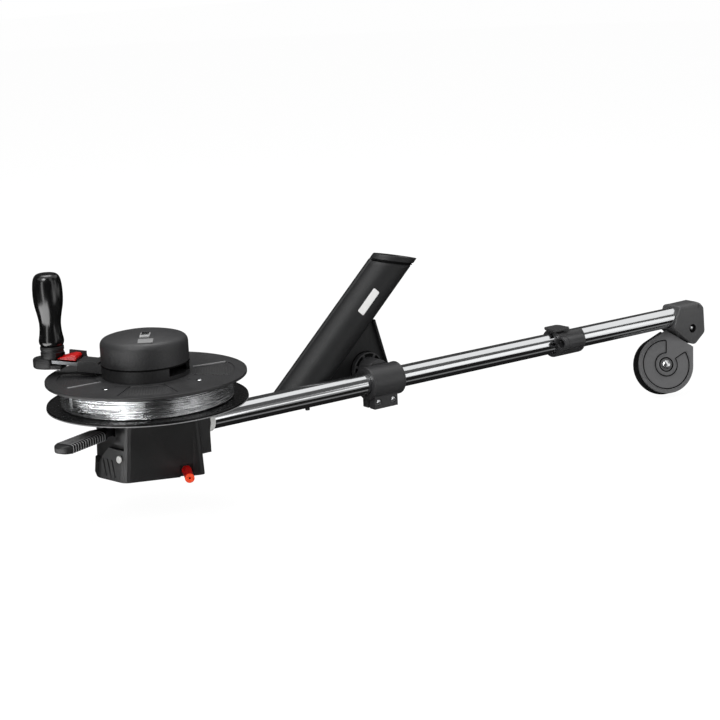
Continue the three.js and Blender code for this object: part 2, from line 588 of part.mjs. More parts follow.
function upperFlangeOutline(bore) {
  const { radius, rimLip, rimRise, landRadius } = spool;
  return [
    [bore, plateBottom], [radius - rimLip, plateBottom], [radius - rimLip, plateBottom - rimRise],
    [radius, plateBottom - rimRise], [radius, spoolTop], [radius - rimLip, spoolTop], [radius - rimLip, plateTop],
    [landRadius, plateTop], [landRadius, spoolTop], [bore, spoolTop],
  ];
}

const fieldBearings = Array.from({ length: pocketCount }, (_, i) => (
  spool.pocketBearing + (i * 360) / pocketCount));

// sunk fields of the upper flange, and the notch in its rim
function flangeCuts() {
  const { pocketInner, pocketOuter, pocketAngle, pocketDepth, radius, notchDepth, notchWidth } = spool;
  const fields = fieldBearings.map((middle) => sector(pocketInner, pocketOuter,
    middle - pocketAngle / 2, middle + pocketAngle / 2, plateTop - pocketDepth, plateTop + overrun));
  const notch = box(radius - notchDepth, radius + overrun, -notchWidth / 2, notchWidth / 2,
    plateBottom - overrun, spoolTop + overrun).rotateZ(radians(spool.notchBearing));
  return [...fields, notch];
}

function flangeRibs() {
  const { pocketInner, ribOuter, ribWidth, ribRise, pocketAngle, pocketDepth } = spool;
  return fieldBearings.flatMap((middle) => [-pocketAngle / 2, pocketAngle / 2].map((side) => (
    box(pocketInner, ribOuter, -ribWidth / 2, ribWidth / 2, plateTop - pocketDepth - gap, plateTop + ribRise)
      .rotateZ(radians(middle + side)))));
}

function addBrakeDrum(parent) {
  const { drumRadius, drumWall, drumBottom, flangeRadius, flangeHeight } = brake;
  const top = spoolBottom - gap;
  const outline = [
    [drumRadius - drumWall, drumBottom], [drumRadius, drumBottom], [drumRadius, top - flangeHeight],
    [flangeRadius, top - flangeHeight], [flangeRadius, top], [drumRadius - drumWall, top],
  ];
  addMesh(parent, 'brake_drum', weld(turned(outline)), dullSteel);
}

function addWire(parent) {
  const core = tube(spool.drumRadius + gap, wire.coreRadius, floorLevel + gap, plateBottom - gap);
  addMesh(parent, 'wire_core', weld(core), dullSteel);
  const radius = wire.layerRadius - wire.diameter / 2;
  const inner = wire.coreRadius + gap;
  const [low, high] = [floorLevel + wire.margin, plateBottom - wire.margin];
  const at = (r, angle, z) => new THREE.Vector3(r * Math.cos(angle), r * Math.sin(angle), z);
  const lead = wire.stub / radius;
  const points = [at(inner, -lead, low), at(inner + wire.stub, -lead, low)];
  for (let i = 0; i <= wireTurns * turnSteps; i += 1) {
    const level = low + ((high - low) * i) / (wireTurns * turnSteps);
    points.push(at(radius, (2 * Math.PI * i) / turnSteps, level));
  }
  points.push(at(inner + wire.stub, lead, high), at(inner, lead, high));
  console.log('wire, least gap to itself', leastGap(points, turnSteps - 1, wire.diameter).toFixed(3));
  addMesh(parent, 'wire_winding', sweep(points, wire.diameter / 2, wireSides), steel);
}

// frame of the sliding bar, tilted up outwards, inside the frame of the crank
const armTurn = new THREE.Matrix4().makeRotationY(-radians(crank.armTilt));
const armPlace = new THREE.Matrix4().makeTranslation(crank.armPivotRadius, 0, crank.armPivotLevel);
const armFrame = armPlace.multiply(armTurn);
const onArm = (geometry) => geometry.applyMatrix4(armFrame);
const barSlot = (x0, x1) => onArm(box(x0, x1, -crank.barWidth / 2 - gap, crank.barWidth / 2 + gap,
  -crank.barThickness / 2 - gap, crank.barThickness / 2 + gap));

function makeCrankArm() {
  const { ringRadius, ringWall, ringTop, lift, webLevel, web } = crank;
  const { armInner, armOuter, armBelow, cheekWidth, padInner } = crank;
  const bore = spindleBore;
  const inner = ringRadius - ringWall;
  const halfWidth = crank.armWidth / 2;
  const hub = turned([
    [bore, webLevel], [inner, webLevel], [inner, lift], [ringRadius, lift], [ringRadius, ringTop], [inner, ringTop],
    [inner, webLevel + web], [bore + crank.hubWall, webLevel + web], [bore + crank.hubWall, crank.hubTop],
    [bore, crank.hubTop],
  ]);
  const body = join(solid(hub),
    onArm(box(-armInner, -armOuter, -halfWidth, halfWidth, -armBelow, crank.armAbove)),
    onArm(box(-padInner, -armOuter, -halfWidth, halfWidth, 0, crank.padAbove)),
    onArm(box(-padInner, -armOuter, -halfWidth, cheekWidth - halfWidth, 0, crank.finAbove)),
    onArm(box(-armOuter - cheekWidth, crank.cheekReach, -halfWidth, cheekWidth - halfWidth,
      -armBelow, crank.cheekAbove)));
  const pinBore = onArm(
    alongY(round(latch.pinRadius + gap, -halfWidth - overrun, 0)).translate(latch.x, 0, latch.z));
  const window = sector(inner - overrun, ringRadius + overrun, crank.windowStart, crank.windowEnd,
    webLevel + web, ringTop + overrun);
  return shell(cut(body, barSlot(-armInner - ringWall, armOuter), pinBore, window));
}

// the latch lies against the inside of its cheek
const latchFar = crank.cheekWidth + gap - crank.armWidth / 2;
const latchNear = latchFar + latch.width;

function makeFoot() {
  const { back, front, nose, noseWidth, radius, recessMargin } = foot;
  const halfWidth = foot.width / 2;
  const outline = [
    [-back, -halfWidth], [front, -halfWidth], [nose, -noseWidth / 2], [nose, noseWidth / 2], [front, halfWidth],
    [-back, halfWidth],
  ];
  const body = join(solid(prism(rounded(outline, foot.cornerRadius), foot.bottom, foot.top)),
    round(foot.collarRadius, foot.top - gap, foot.collarTop, facets.middle));
  const axleBore = round(foot.axleRadius + gap, foot.axleBottom - gap, foot.collarTop + overrun);
  const recess = onArm(box(-crank.armOuter, latch.x + latch.reach + recessMargin + recessMargin,
    latchFar - recessMargin, latchNear + recessMargin, 0, foot.recessTop));
  const bored = cut(body, axleBore).translate([radius, 0, 0]);
  return shell(cut(bored, barSlot(-crank.armOuter, crank.barReach + gap), recess));
}

function addLatch(parent) {
  const outline = latchShares.map(([x, z]) => [x * latch.reach, z * latch.rise]);
  const bore = alongY(round(latch.pinRadius + gap, latchFar - overrun, latchNear + overrun));
  const wedge = shell(cut(solid(sideView(outline, latchFar, latchNear)), bore));
  addMesh(parent, 'latch', onArm(wedge.translate(latch.x, 0, latch.z)), red);
  const headSeat = -latchNear - gap;
  const pin = screw(
    latch.headRadius, latch.pinRadius, headSeat - latch.headHeight, headSeat, crank.armWidth / 2 - gap);
  addMesh(parent, 'latch_pin', weld(onArm(alongY(pin.rotateX(Math.PI)).translate(latch.x, 0, latch.z))), steel);
}

function makeKnob() {
  const outline = knobShares.map(([r, z]) => [r * knob.radius, knob.bottom + z * knob.height]);
  const bore = foot.axleRadius + gap;
  const boreTop = foot.axleTop + gap;
  const inside = [[0, knob.bottom + knob.height], [0, boreTop], [bore, boreTop], [bore, knob.bottom]];
  return weld(turned([...outline, ...inside], facets.middle));
}

function addCrank(parent) {
  const group = addGroup(parent, 0, 0, spoolTop);
  group.rotation.z = radians(crank.bearing);
  addMesh(group, 'crank_arm', makeCrankArm(), black);
  const disc = tube(crank.discInner, crank.discOuter, crank.lift, crank.lift + crank.discThickness);
  addMesh(group, 'clutch_disc', weld(disc), lining);
  addLatch(group);
  const halfWidth = crank.barWidth / 2;
  const halfThickness = crank.barThickness / 2;
  const bar = box(-crank.barInner, crank.barReach, -halfWidth, halfWidth, -halfThickness, halfThickness);
  addMesh(group, 'crank_bar', weld(onArm(bar)), grey);
  addMesh(group, 'crank_foot', makeFoot(), black);
  const axle = round(foot.axleRadius, foot.axleBottom, foot.axleTop);
  addMesh(group, 'knob_axle', weld(axle.translate(foot.radius, 0, 0)), steel);
  addMesh(group, 'knob', makeKnob().translate(foot.radius, 0, 0), gloss);
}

// frame of the counter's window: X along the row of number wheels
const windowTurn = new THREE.Matrix4().makeRotationZ(radians(counter.bearing));
const windowPlace = new THREE.Matrix4().makeTranslation(counter.windowX, counter.windowY, 0);
const windowFrame = windowPlace.multiply(windowTurn);
const atWindow = (geometry) => geometry.applyMatrix4(windowFrame);
const capTop = capBottom + counter.capHeight;

function makeCap() {
  const { capWall, capHeight, windowWidth, windowDepth } = counter;
  const radius = crank.ringRadius;
  const side = (wall) => capShares.map(([r, z]) => [
    Math.max(0, r * radius - wall), capBottom + z * capHeight - wall,
  ]);
  const outline = [[radius - capWall, capBottom], [radius, capBottom], ...side(0), ...side(capWall).reverse()];
  const opening = atWindow(box(-windowWidth / 2, windowWidth / 2, -windowDepth / 2, windowDepth / 2,
    capTop - counter.wheelDrop, capTop + overrun));
  return shell(cut(solid(turned(outline)), opening));
}

function addCounter(parent) {
  const { plate, plateRadius, postReach, postThickness, postWidth, windowWidth, windowDepth } = counter;
  const hubRadius = spindleBore + counter.hubWall;
  const wheelLevel = capTop - counter.wheelDrop;
  const hubBottom = topNutTop + gap;
  const disc = turned([
    [0, hubBottom], [hubRadius, hubBottom], [hubRadius, capBottom], [plateRadius, capBottom],
    [plateRadius, capBottom + plate], [0, capBottom + plate],
  ]);
  const posts = [-1, 1].map((side) => atWindow(box(
    side * postReach - postThickness / 2, side * postReach + postThickness / 2, -postWidth / 2, postWidth / 2,
    capBottom + gap, wheelLevel + counter.postAbove,
  )));
  const axleReach = postReach + postThickness;
  const onAxle = (geometry) => atWindow(alongX(geometry).translate(0, 0, wheelLevel));
  const axleBore = onAxle(round(counter.axleRadius + gap, -axleReach - overrun, axleReach + overrun));
  const tipRoom = round(spindleBore, hubBottom - overrun, topNutTop + spindle.tip + gap, facets.middle);
  addMesh(parent, 'counter_base', shell(cut(join(solid(disc), ...posts), axleBore, tipRoom)), black);
  addMesh(parent, 'counter_cap', makeCap(), black);
  const lensTop = capTop - counter.lensDrop;
  const lens = box(gap - windowWidth / 2, windowWidth / 2 - gap, gap - windowDepth / 2, windowDepth / 2 - gap,
    lensTop - counter.lensThickness, lensTop);
  addMesh(parent, 'counter_window', weld(atWindow(lens)), clear);
  addMesh(parent, 'counter_axle', weld(onAxle(round(counter.axleRadius, -axleReach, axleReach))), steel);
  wheelNames.forEach((name, i) => {
    const place = (i - 1) * counter.wheelPitch;
    const halfWidth = counter.wheelWidth / 2;
    const wheel = tube(
      counter.axleRadius + gap, counter.wheelRadius, place - halfWidth, place + halfWidth, facets.middle);
    addMesh(parent, name, weld(onAxle(wheel)), pale);
  });
}

const onBoom = (geometry) => alongX(geometry).translate(0, boom.y, boom.z);

function addBoom(parent) {
  const { boltX, boltRadius, headRadius, headHeight, pegX, pegRadius, pegHeight, pegShank, ringStart } = socket;
  const boomEnd = boom.start + boom.length;
  const pipe = solid(onBoom(tube(boom.radius - boom.wall, boom.radius, boom.start, boomEnd, facets.middle)));
  const boltBore = round(boltRadius + gap, 0, housing.height).translate(boltX, boom.y, 0);
  const pegBore = round(pegShank + gap, 0, boom.z).translate(pegX, boom.y, 0);
  addMesh(parent, 'boom_tube', shell(cut(pipe, boltBore, pegBore)), steel);
  const seat = socket.bottom - gap;
  const [nutBottom, nutTop] = [socketTop + gap, socketTop + gap + headHeight];
  const bolt = screw(headRadius, boltRadius, seat - headHeight, seat, nutTop);
  addMesh(parent, 'socket_bolt', weld(bolt.translate(boltX, boom.y, 0)), steel);
  const socketNut = nut(headRadius, boltRadius + gap, nutBottom, nutTop).translate(boltX, boom.y, 0);
  addMesh(parent, 'socket_nut', socketNut, steel);
  const ring = tube(boomBore, boomBore + socket.ringWall, ringStart, ringStart + socket.ringLength, facets.middle);
  addMesh(parent, 'socket_ring', weld(onBoom(ring)), steel);
  const pegSeat = boom.z - boom.radius - gap;
  const peg = screw(pegRadius, pegShank, pegSeat - pegHeight, pegSeat, pegSeat + socket.pegLength);
  addMesh(parent, 'boom_peg', weld(peg.translate(pegX, boom.y, 0)), black);
}

function addRodClamp(parent) {
  const { x, length, wall, slit, earX, earLength, earReach, sink, headHeight, discEnd } = clamp;
  const [start, end] = [x - length / 2, x + length / 2];
  const [earBottom, boltStart] = [boom.z - boomBore - clamp.earHeight, boomBore + clamp.boltGap];
  const screwLevel = boom.z - boomBore - clamp.screwDrop;
  const screwPlaces = [earX - clamp.screwSpacing / 2, earX + clamp.screwSpacing / 2];
  const ears = box(earX - earLength / 2, earX + earLength / 2, boom.y - earReach, boom.y + earReach,
    earBottom, boom.z - boomBore);
  const atPivot = (geometry) => alongY(geometry).translate(rod.pivotX, boom.y, rod.pivotZ);
  const atScrew = (geometry, place) => alongY(geometry).translate(place, boom.y, screwLevel);
  const body = join(solid(onBoom(round(boomBore + wall, start, end, facets.middle))), ears,
    atPivot(round(clamp.bossRadius, clamp.bossStart, clamp.discStart + gap, facets.middle)),
    atPivot(round(clamp.discRadius, clamp.discStart, discEnd, facets.middle)));
  const sinks = screwPlaces.flatMap((place) => [
    atScrew(round(clamp.screwRadius + gap, -earReach - overrun, clamp.screwEnd + gap), place),
    atScrew(round(clamp.headRadius + gap, -earReach - overrun, sink - earReach), place),
  ]);
  const opened = cut(body, onBoom(round(boomBore, start - overrun, end + overrun, facets.middle)),
    box(start - overrun, end + overrun, boom.y - slit, boom.y + slit,
      earBottom - overrun, boom.z - boomBore + slit),
    atPivot(round(rod.boltRadius + gap, boltStart - gap, discEnd + overrun)), ...sinks);
  addMesh(parent, 'rod_clamp', shell(opened), black);
  screwPlaces.forEach((place, i) => {
    const seat = sink - earReach - gap;
    const geometry = screw(clamp.headRadius, clamp.screwRadius, seat - headHeight, seat, clamp.screwEnd);
    addMesh(parent, `clamp_screw_${i + 1}`, weld(atScrew(geometry, place)), steel);
  });
  const headSeat = -rod.webStart - rod.web - gap;
  const bolt = screw(rod.headRadius, rod.boltRadius, headSeat - rod.headHeight, headSeat, -boltStart);
  addMesh(parent, 'rod_pivot_bolt', weld(atPivot(bolt.rotateX(Math.PI))), steel);
}

function addRodHolder(parent) {
  const { tubeY, tubeRadius, tubeWall, axisOffset, low, high, slack, webStart, web, edgeRib, edgeRibOut } = rod;
  const group = addGroup(parent, rod.pivotX, boom.y, rod.pivotZ);
  group.rotation.y = -radians(rod.tubeAngle);
  const [from, to] = [low - slack, high + slack];
  const span = to - from;
  const onAxis = (geometry) => alongX(geometry).translate(0, tubeY, axisOffset);
  // everything between two planes that lie as the tube's slanting ends do
  const between = (x0, x1, place) => box(x0, x1, -span, span, -span, span)
    .rotateY(-radians(rod.endTilt)).translate(place, tubeY, axisOffset);
  const band = solid(onAxis(round(tubeRadius + rod.collarWall, from, to, facets.middle)))
    .intersect(solid(between(-rod.collarHeight, 0, high)));
  const lip = box(from, to, tubeY - rod.lipWidth / 2, tubeY + rod.lipWidth / 2, axisOffset + tubeRadius - overrun,
    axisOffset + tubeRadius + rod.lipRise);
  const outline = webShares.map(([x, z]) => [x * axisOffset, z * axisOffset]);
  const [edgeLow, edgeHigh] = outline.slice(-3, -1);
  const edge = sideView([edgeLow, edgeHigh, [edgeHigh[0] - edgeRib, edgeHigh[1]], [edgeLow[0] - edgeRib, edgeLow[1]]],
    webStart - edgeRibOut, webStart + web + edgeRibOut);
  const body = join(solid(onAxis(round(tubeRadius, from, to, facets.middle))), lip,
    sideView(outline, webStart, webStart + web), edge).add(band);
  const opened = cut(body, onAxis(round(tubeRadius - tubeWall, from - overrun, to + overrun, facets.middle)),
    between(0, span, high), between(-span, 0, low),
    alongY(round(rod.boltRadius + gap, webStart - overrun, webStart + web + overrun)));
  addMesh(group, 'rod_holder', shell(opened), black);
}

function addClip(parent) {
  const { start, end, split, pocketRadius, pocketStart, pocketEnd, lugStart, lugEnd, lugBelow, lugAbove } = clip;
  const span = end - start;
  const atBoom = (geometry) => geometry.translate(0, boom.y, boom.z);
  const atScrew = (geometry) => atBoom(geometry.translate((lugStart + lugEnd) / 2, boomBore + clip.screwReach, 0));
  const pocket = (r, x0, x1) => onBoom(round(r, x0, x1)).translate(0, -boomBore - clip.pocketReach, clip.pocketZ);
  const half = (z0, z1) => solid(atBoom(box(start - span, end + span, -span, span, z0, z1)));
  const bores = [
    onBoom(round(boomBore, start - span, end + span, facets.middle)),
    atScrew(round(clip.screwRadius + gap, -lugBelow - overrun, lugAbove + overrun)),
  ];
  const body = join(solid(onBoom(round(boomBore + clip.wall, start, end, facets.middle))),
    atBoom(box(lugStart, lugEnd, boomBore, boomBore + clip.lugReach, -lugBelow, lugAbove)));
  const visor = atBoom(box(clip.visorStart, clip.visorEnd, -clip.visorHalfWidth, clip.visorHalfWidth,
    boomBore + clip.visorRise - clip.visorThickness, boomBore + clip.visorRise));
  const prong = atBoom(box(clip.prongStart, start + overrun, -boomBore - clip.prongNear, -boomBore - clip.prongFar,
    split, clip.prongTop));
  const upper = join(body.intersect(half(split, span)), pocket(pocketRadius, pocketStart, pocketEnd), visor, prong);
  const pocketBore = pocket(pocketRadius - clip.pocketWall, pocketStart - overrun, pocketStart + clip.pocketDepth);
  addMesh(parent, 'clip_upper', shell(cut(upper, ...bores, pocketBore)), black);
  const pocketRoom = pocket(pocketRadius + gap, pocketStart - overrun, pocketEnd + gap);
  addMesh(parent, 'clip_lower', shell(cut(body.intersect(half(-span, split - gap)), ...bores, pocketRoom)), black);
  const headSeat = -lugAbove - gap;
  const fastener = screw(clip.headRadius, clip.screwRadius, headSeat - clip.headHeight, headSeat, lugBelow);
  addMesh(parent, 'clip_screw', weld(atScrew(fastener.rotateX(Math.PI))), steel);
}

// frame of the pulley head before it is turned: Z along the swivel bolt
const swivelTilt = new THREE.Matrix4().makeRotationY(radians(pulley.tilt));
const swivelFrame = new THREE.Matrix4().makeTranslation(pulley.x, boom.y, pulley.z).multiply(swivelTilt);

function addEndCap(parent) {
  const { start, boltRadius, headRadius, headHeight, sink, boltEnd } = endCap;
  const halfWidth = boomBore + endCap.sideWall;
  const corner = (reach) => {
    const point = new THREE.Vector3(reach, 0, pulley.capFace).applyMatrix4(swivelFrame);
    return [point.x, point.z];
  };
  const outline = [
    corner(endCap.heel), corner(endCap.toe), [endCap.tipX, endCap.tipZ], [endCap.chinX, endCap.chinZ],
    [endCap.browX, endCap.browZ], [endCap.crownX, endCap.top], [start, endCap.top],
  ];
  const blank = sideView(rounded(outline, endCap.cornerRadius), boom.y - halfWidth, boom.y + halfWidth);
  const atBolt = (geometry) => alongY(geometry).translate(endCap.boltX, boom.y, boom.z - boomBore - endCap.boltDrop);
  const body = cut(solid(blank),
    onBoom(round(boomBore, start - overrun, boom.start + boom.length + gap, facets.middle)),
    round(pulley.swivelRadius + gap, pulley.capFace - overrun, pulley.swivelTop + gap).applyMatrix4(swivelFrame),
    atBolt(round(boltRadius + gap, -halfWidth - overrun, boltEnd + gap)),
    atBolt(round(headRadius + gap, -halfWidth - overrun, sink - halfWidth)));
  addMesh(parent, 'end_cap', shell(body), black);
  const seat = sink - halfWidth - gap;
  addMesh(parent, 'end_cap_bolt', weld(atBolt(screw(headRadius, boltRadius, seat - headHeight, seat, boltEnd))), steel);
  const headSeat = pulley.blockBottom - gap;
  const swivel = screw(pulley.headRadius, pulley.swivelRadius, headSeat - pulley.headHeight, headSeat, pulley.swivelTop);
  addMesh(parent, 'swivel_bolt', weld(swivel).applyMatrix4(swivelFrame), steel);
}

// side plate of the pulley head, drawn in X and Z: a disc with straight sides up to a flat top
function plateOutline() {
  const { radius, top, topHalfWidth } = pulley;
  const tangent = Math.atan2(top, topHalfWidth) - Math.acos(Math.min(1, radius / Math.hypot(topHalfWidth, top)));
  const shape = new THREE.Shape();
  shape.moveTo(-topHalfWidth, top);
  shape.absarc(0, 0, radius, Math.PI - tangent, 2 * Math.PI + tangent, false);
  shape.lineTo(topHalfWidth, top);
  return shape;
}

// one side plate with its channel and hub recess; the side is 1 for the far plate, -1 for the near one
function sidePlate(side) {
  const { halfThickness, plate, recessDepth } = pulley;
  const between = (a, b) => [Math.min(side * a, side * b), Math.max(side * a, side * b)];
  const sunk = between(halfThickness - recessDepth, halfThickness + overrun);
  const channel = sector(pulley.channelInner, pulley.channelOuter, pulley.channelStart, pulley.channelEnd,
    -sunk[1], -sunk[0]).rotateX(Math.PI / 2);
  return cut(solid(sideView(plateOutline(), ...between(halfThickness - plate, halfThickness))), channel,
    alongY(round(pulley.recessRadius, ...sunk)),
    alongY(round(pulley.axleRadius + gap, -halfThickness - overrun, halfThickness + overrun)));
}

function addPulley(parent) {
  const { halfThickness, axleRadius, nutRadius, nutHeight, blockHalfWidth, blockBottom, hubRadius, top } = pulley;
  const tilted = addGroup(parent, pulley.x, boom.y, pulley.z);
  tilted.rotation.y = radians(pulley.tilt);
  const group = addGroup(tilted, 0, 0, 0);
  group.rotation.z = radians(pulley.turn);
  const inner = halfThickness - pulley.plate;
  const block = box(-blockHalfWidth, blockHalfWidth, gap - inner, inner + gap, blockBottom, top);
  const swivelBore = round(pulley.swivelRadius + gap, blockBottom - overrun, top + overrun);
  addMesh(group, 'pulley_plate_near', shell(sidePlate(-1)), grey);
  addMesh(group, 'pulley_plate_far', shell(cut(join(sidePlate(1), block), swivelBore)), grey);
  const seat = halfThickness - pulley.recessDepth + gap;
  const axle = screw(nutRadius, axleRadius, -seat - nutHeight, -seat, seat + nutHeight);
  addMesh(group, 'pulley_axle', weld(alongY(axle)), steel);
  addMesh(group, 'pulley_nut', alongY(nut(nutRadius, axleRadius + gap, seat, seat + nutHeight)), steel);
  const { sheaveRadius, grooveDepth, sheaveHalfWidth, grooveHalfWidth } = pulley;
  const hubHalfWidth = inner - gap;
  const sheave = turned([
    [axleRadius + gap, -hubHalfWidth], [hubRadius, -hubHalfWidth], [hubRadius, -sheaveHalfWidth],
    [sheaveRadius, -sheaveHalfWidth], [sheaveRadius, -grooveHalfWidth], [sheaveRadius - grooveDepth, 0],
    [sheaveRadius, grooveHalfWidth], [sheaveRadius, sheaveHalfWidth], [hubRadius, sheaveHalfWidth],
    [hubRadius, hubHalfWidth], [axleRadius + gap, hubHalfWidth],
  ]);
  addMesh(group, 'sheave', weld(alongY(sheave)), black);
}

addFrame(assembly);
addSpindle(assembly);
addLockPin(assembly);
addBrake(assembly);
addSpool(assembly);
addCrank(assembly);
addCounter(assembly);
addBoom(assembly);
addRodClamp(assembly);
addRodHolder(assembly);
addClip(assembly);
addEndCap(assembly);
addPulley(assembly);

export default assembly;
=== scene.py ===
import json
import math
import bmesh
import bpy
import numpy as np
from mathutils import Matrix, Vector


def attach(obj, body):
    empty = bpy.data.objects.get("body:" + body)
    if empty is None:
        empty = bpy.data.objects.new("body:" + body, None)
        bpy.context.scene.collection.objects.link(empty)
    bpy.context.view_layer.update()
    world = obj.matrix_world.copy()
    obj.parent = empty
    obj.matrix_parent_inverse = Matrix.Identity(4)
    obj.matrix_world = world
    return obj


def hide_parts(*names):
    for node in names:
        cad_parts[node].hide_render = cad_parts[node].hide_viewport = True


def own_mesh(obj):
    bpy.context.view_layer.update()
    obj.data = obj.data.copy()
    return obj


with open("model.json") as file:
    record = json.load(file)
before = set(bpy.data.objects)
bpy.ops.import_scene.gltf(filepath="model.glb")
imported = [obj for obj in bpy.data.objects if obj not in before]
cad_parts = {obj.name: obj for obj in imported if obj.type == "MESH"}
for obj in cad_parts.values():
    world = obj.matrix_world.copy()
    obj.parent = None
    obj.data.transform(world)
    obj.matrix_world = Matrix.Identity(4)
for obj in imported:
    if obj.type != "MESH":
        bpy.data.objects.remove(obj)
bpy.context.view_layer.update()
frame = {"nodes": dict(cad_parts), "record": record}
mm = 0.001  # the sizes below are in millimetres
rng = np.random.default_rng(7)
print("frame loaded,", len(frame["nodes"]), "nodes")


def feed(tree, slot, value):
    if isinstance(value, Link):
        tree.links.new(value.socket, slot)
    else:
        slot.default_value = value


class Link:
    # a socket of a node tree, on which sums can be written
    def __init__(self, tree, socket):
        self.tree = tree
        self.socket = socket

    def calc(self, operation, other):
        node = self.tree.nodes.new("ShaderNodeMath")
        node.operation = operation
        feed(self.tree, node.inputs[0], self)
        feed(self.tree, node.inputs[1], other)
        return Link(self.tree, node.outputs[0])

    def __add__(self, other):
        return self.calc("ADD", other)

    def __sub__(self, other):
        return self.calc("SUBTRACT", other)

    def __mul__(self, other):
        return self.calc("MULTIPLY", other)

    def atLeast(self, other):
        return self.calc("MAXIMUM", other)

    def atMost(self, other):
        return self.calc("MINIMUM", other)


class Finish:
    # a material whose own sockets are set first and varied afterwards
    def __init__(self, name, slot, color, roughness, metallic=0.0, **more):
        self.material = bpy.data.materials.new(name)
        self.material.use_nodes = True
        self.tree = self.material.node_tree
        self.shader = self.tree.nodes["Principled BSDF"]
        self.slot = slot
        self.color = color
        self.set("Base Color", (*color, 1.0))
        self.set("Roughness", roughness)
        self.set("Metallic", metallic)
        for key, value in more.items():
            self.set(key, value)

    def set(self, key, value):
        feed(self.tree, self.shader.inputs[key], value)

    def add(self, kind, inputs, output=0, **settings):
        node = self.tree.nodes.new("ShaderNode" + kind)
        for key, value in settings.items():
            setattr(node, key, value)
        for key, value in inputs.items():
            feed(self.tree, node.inputs[key], value)
        return Link(self.tree, node.outputs[output])

    def show(self, link):
        # this socket is what the material looks like, instead of the shader's
        feed(self.tree, self.tree.nodes["Material Output"].inputs[0], link)

    def place(self, scale=(1, 1, 1), turn=(0, 0, 0)):
        # object coordinates, stretched or turned
        here = self.add("TexCoord", {}, "Object")
        return self.add("Mapping", {"Vector": here, "Rotation": turn, "Scale": scale})

    def noise(self, scale, detail=3.0, stretch=(1, 1, 1)):
        return self.add("TexNoise", {"Vector": self.place(stretch), "Scale": scale, "Detail": detail})

    def tint(self, mask, other):
        # base colour runs from the plain colour to the other one by the mask
        inputs = {0: mask, 6: (*self.color, 1), 7: (*other, 1)}
        self.set("Base Color", self.add("Mix", inputs, 2, data_type="RGBA"))

    def bump(self, height, strength, distance):
        self.set("Normal", self.add("Bump", {"Height": height, "Strength": strength, "Distance": distance}))


def moulded(name, color, roughness, slot="black_plastic", grain=900, depth=0.35, mottle=1.6, shine=0.5):
    # spark-eroded plastic: a fine grain in the normal, and a slow mottle in colour and gloss
    finish = Finish(name, slot, color, roughness)
    finish.set("Specular IOR Level", shine)
    slow = finish.noise(60, 4.0)
    finish.tint(slow * 0.3, tuple(mottle * part for part in color))
    finish.set("Roughness", slow * 0.16 + (roughness - 0.08))
    finish.bump(finish.noise(grain, 2.0), depth, 0.0004)
    return finish


def metal(name, slot, color, roughness, stretch, scale, spread):
    # drawn or polished steel: streaks in the gloss along the stretch
    finish = Finish(name, slot, color, roughness, 1.0)
    streaks = finish.noise(scale, 4.0, stretch)
    finish.set("Roughness", streaks * spread + (roughness - spread / 2))
    finish.tint(streaks, tuple(0.86 * part for part in color))
    finish.bump(streaks, 0.03, 0.0001)
    return finish


blackPlastic = moulded("blackPlastic", (0.011, 0.011, 0.0115), 0.46)
coarsePlastic = moulded("coarsePlastic", (0.010, 0.010, 0.0105), 0.5, grain=620, depth=0.9, mottle=4.5)
holderPlastic = moulded("holderPlastic", (0.009, 0.0092, 0.0096), 0.5, grain=1400, depth=0.2, mottle=2.0, shine=0.3)
capPlastic = moulded("capPlastic", (0.014, 0.014, 0.0147), 0.5, grain=640, depth=0.8, mottle=4.0)
knobPlastic = moulded("knobPlastic", (0.004, 0.004, 0.0042), 0.19,
                      slot="gloss_black", grain=500, depth=0.015, mottle=1.2)
headPlastic = moulded("headPlastic", (0.096, 0.096, 0.098), 0.5, slot="grey_plastic", grain=800, depth=0.4, mottle=1.7)
endPlastic = moulded("endPlastic", (0.046, 0.046, 0.047), 0.45, depth=0.4, mottle=1.9)
redPlastic = moulded("redPlastic", (0.6, 0.004, 0.003), 0.3, slot="red_plastic", grain=700, depth=0.05, mottle=0.8)
orangePlastic = moulded("orangePlastic", (0.9, 0.06, 0.006), 0.35,
                        slot="red_plastic", grain=700, depth=0.05, mottle=0.9)
palePlastic = moulded("palePlastic", (0.68, 0.68, 0.66), 0.45, slot="pale_plastic", grain=700, depth=0.05, mottle=0.92)
liningMaterial = moulded("liningMaterial", (0.12, 0.08, 0.05), 0.85, slot="friction_lining", grain=800, depth=0.8)
# pale grey that paints highlights on black parts: the rim's line of light, two lit flange ribs, the holder's teeth
paintedHighlightPlastic = moulded("paintedHighlightPlastic", (0.2, 0.2, 0.203), 0.42, depth=0.2)
leverPlastic = moulded("leverPlastic", (0.010, 0.010, 0.0105), 0.45, grain=2000, depth=0.25, shine=0.35)
# pale grey for the lever's crests, a painted highlight
crestHighlightPlastic = moulded("crestHighlightPlastic", (0.2, 0.2, 0.203), 0.45, depth=0.2)
clampPlastic = moulded("clampPlastic", (0.024, 0.024, 0.025), 0.42, depth=0.5, mottle=2.2)
slickPlastic = moulded("slickPlastic", (0.006, 0.006, 0.0063), 0.27, depth=0.06, shine=0.3)
# near black: dark parts and print, and the pieces of painted shade in grooves, recesses, pockets and along edges
darkPartsAndShade = moulded("darkPartsAndShade", (0.003, 0.003, 0.003), 0.7, grain=1500, shine=0.05)
frameDark = moulded("frameDark", (0.008, 0.008, 0.0085), 0.5, shine=0.3)
bezelPlastic = moulded("bezelPlastic", (0.36, 0.36, 0.36), 0.5, slot="pale_plastic", grain=700, depth=0.1, mottle=1.2)
greyLabel = moulded("greyLabel", (0.2, 0.2, 0.2), 0.5, slot="pale_plastic", grain=700, depth=0.1, mottle=1.3)
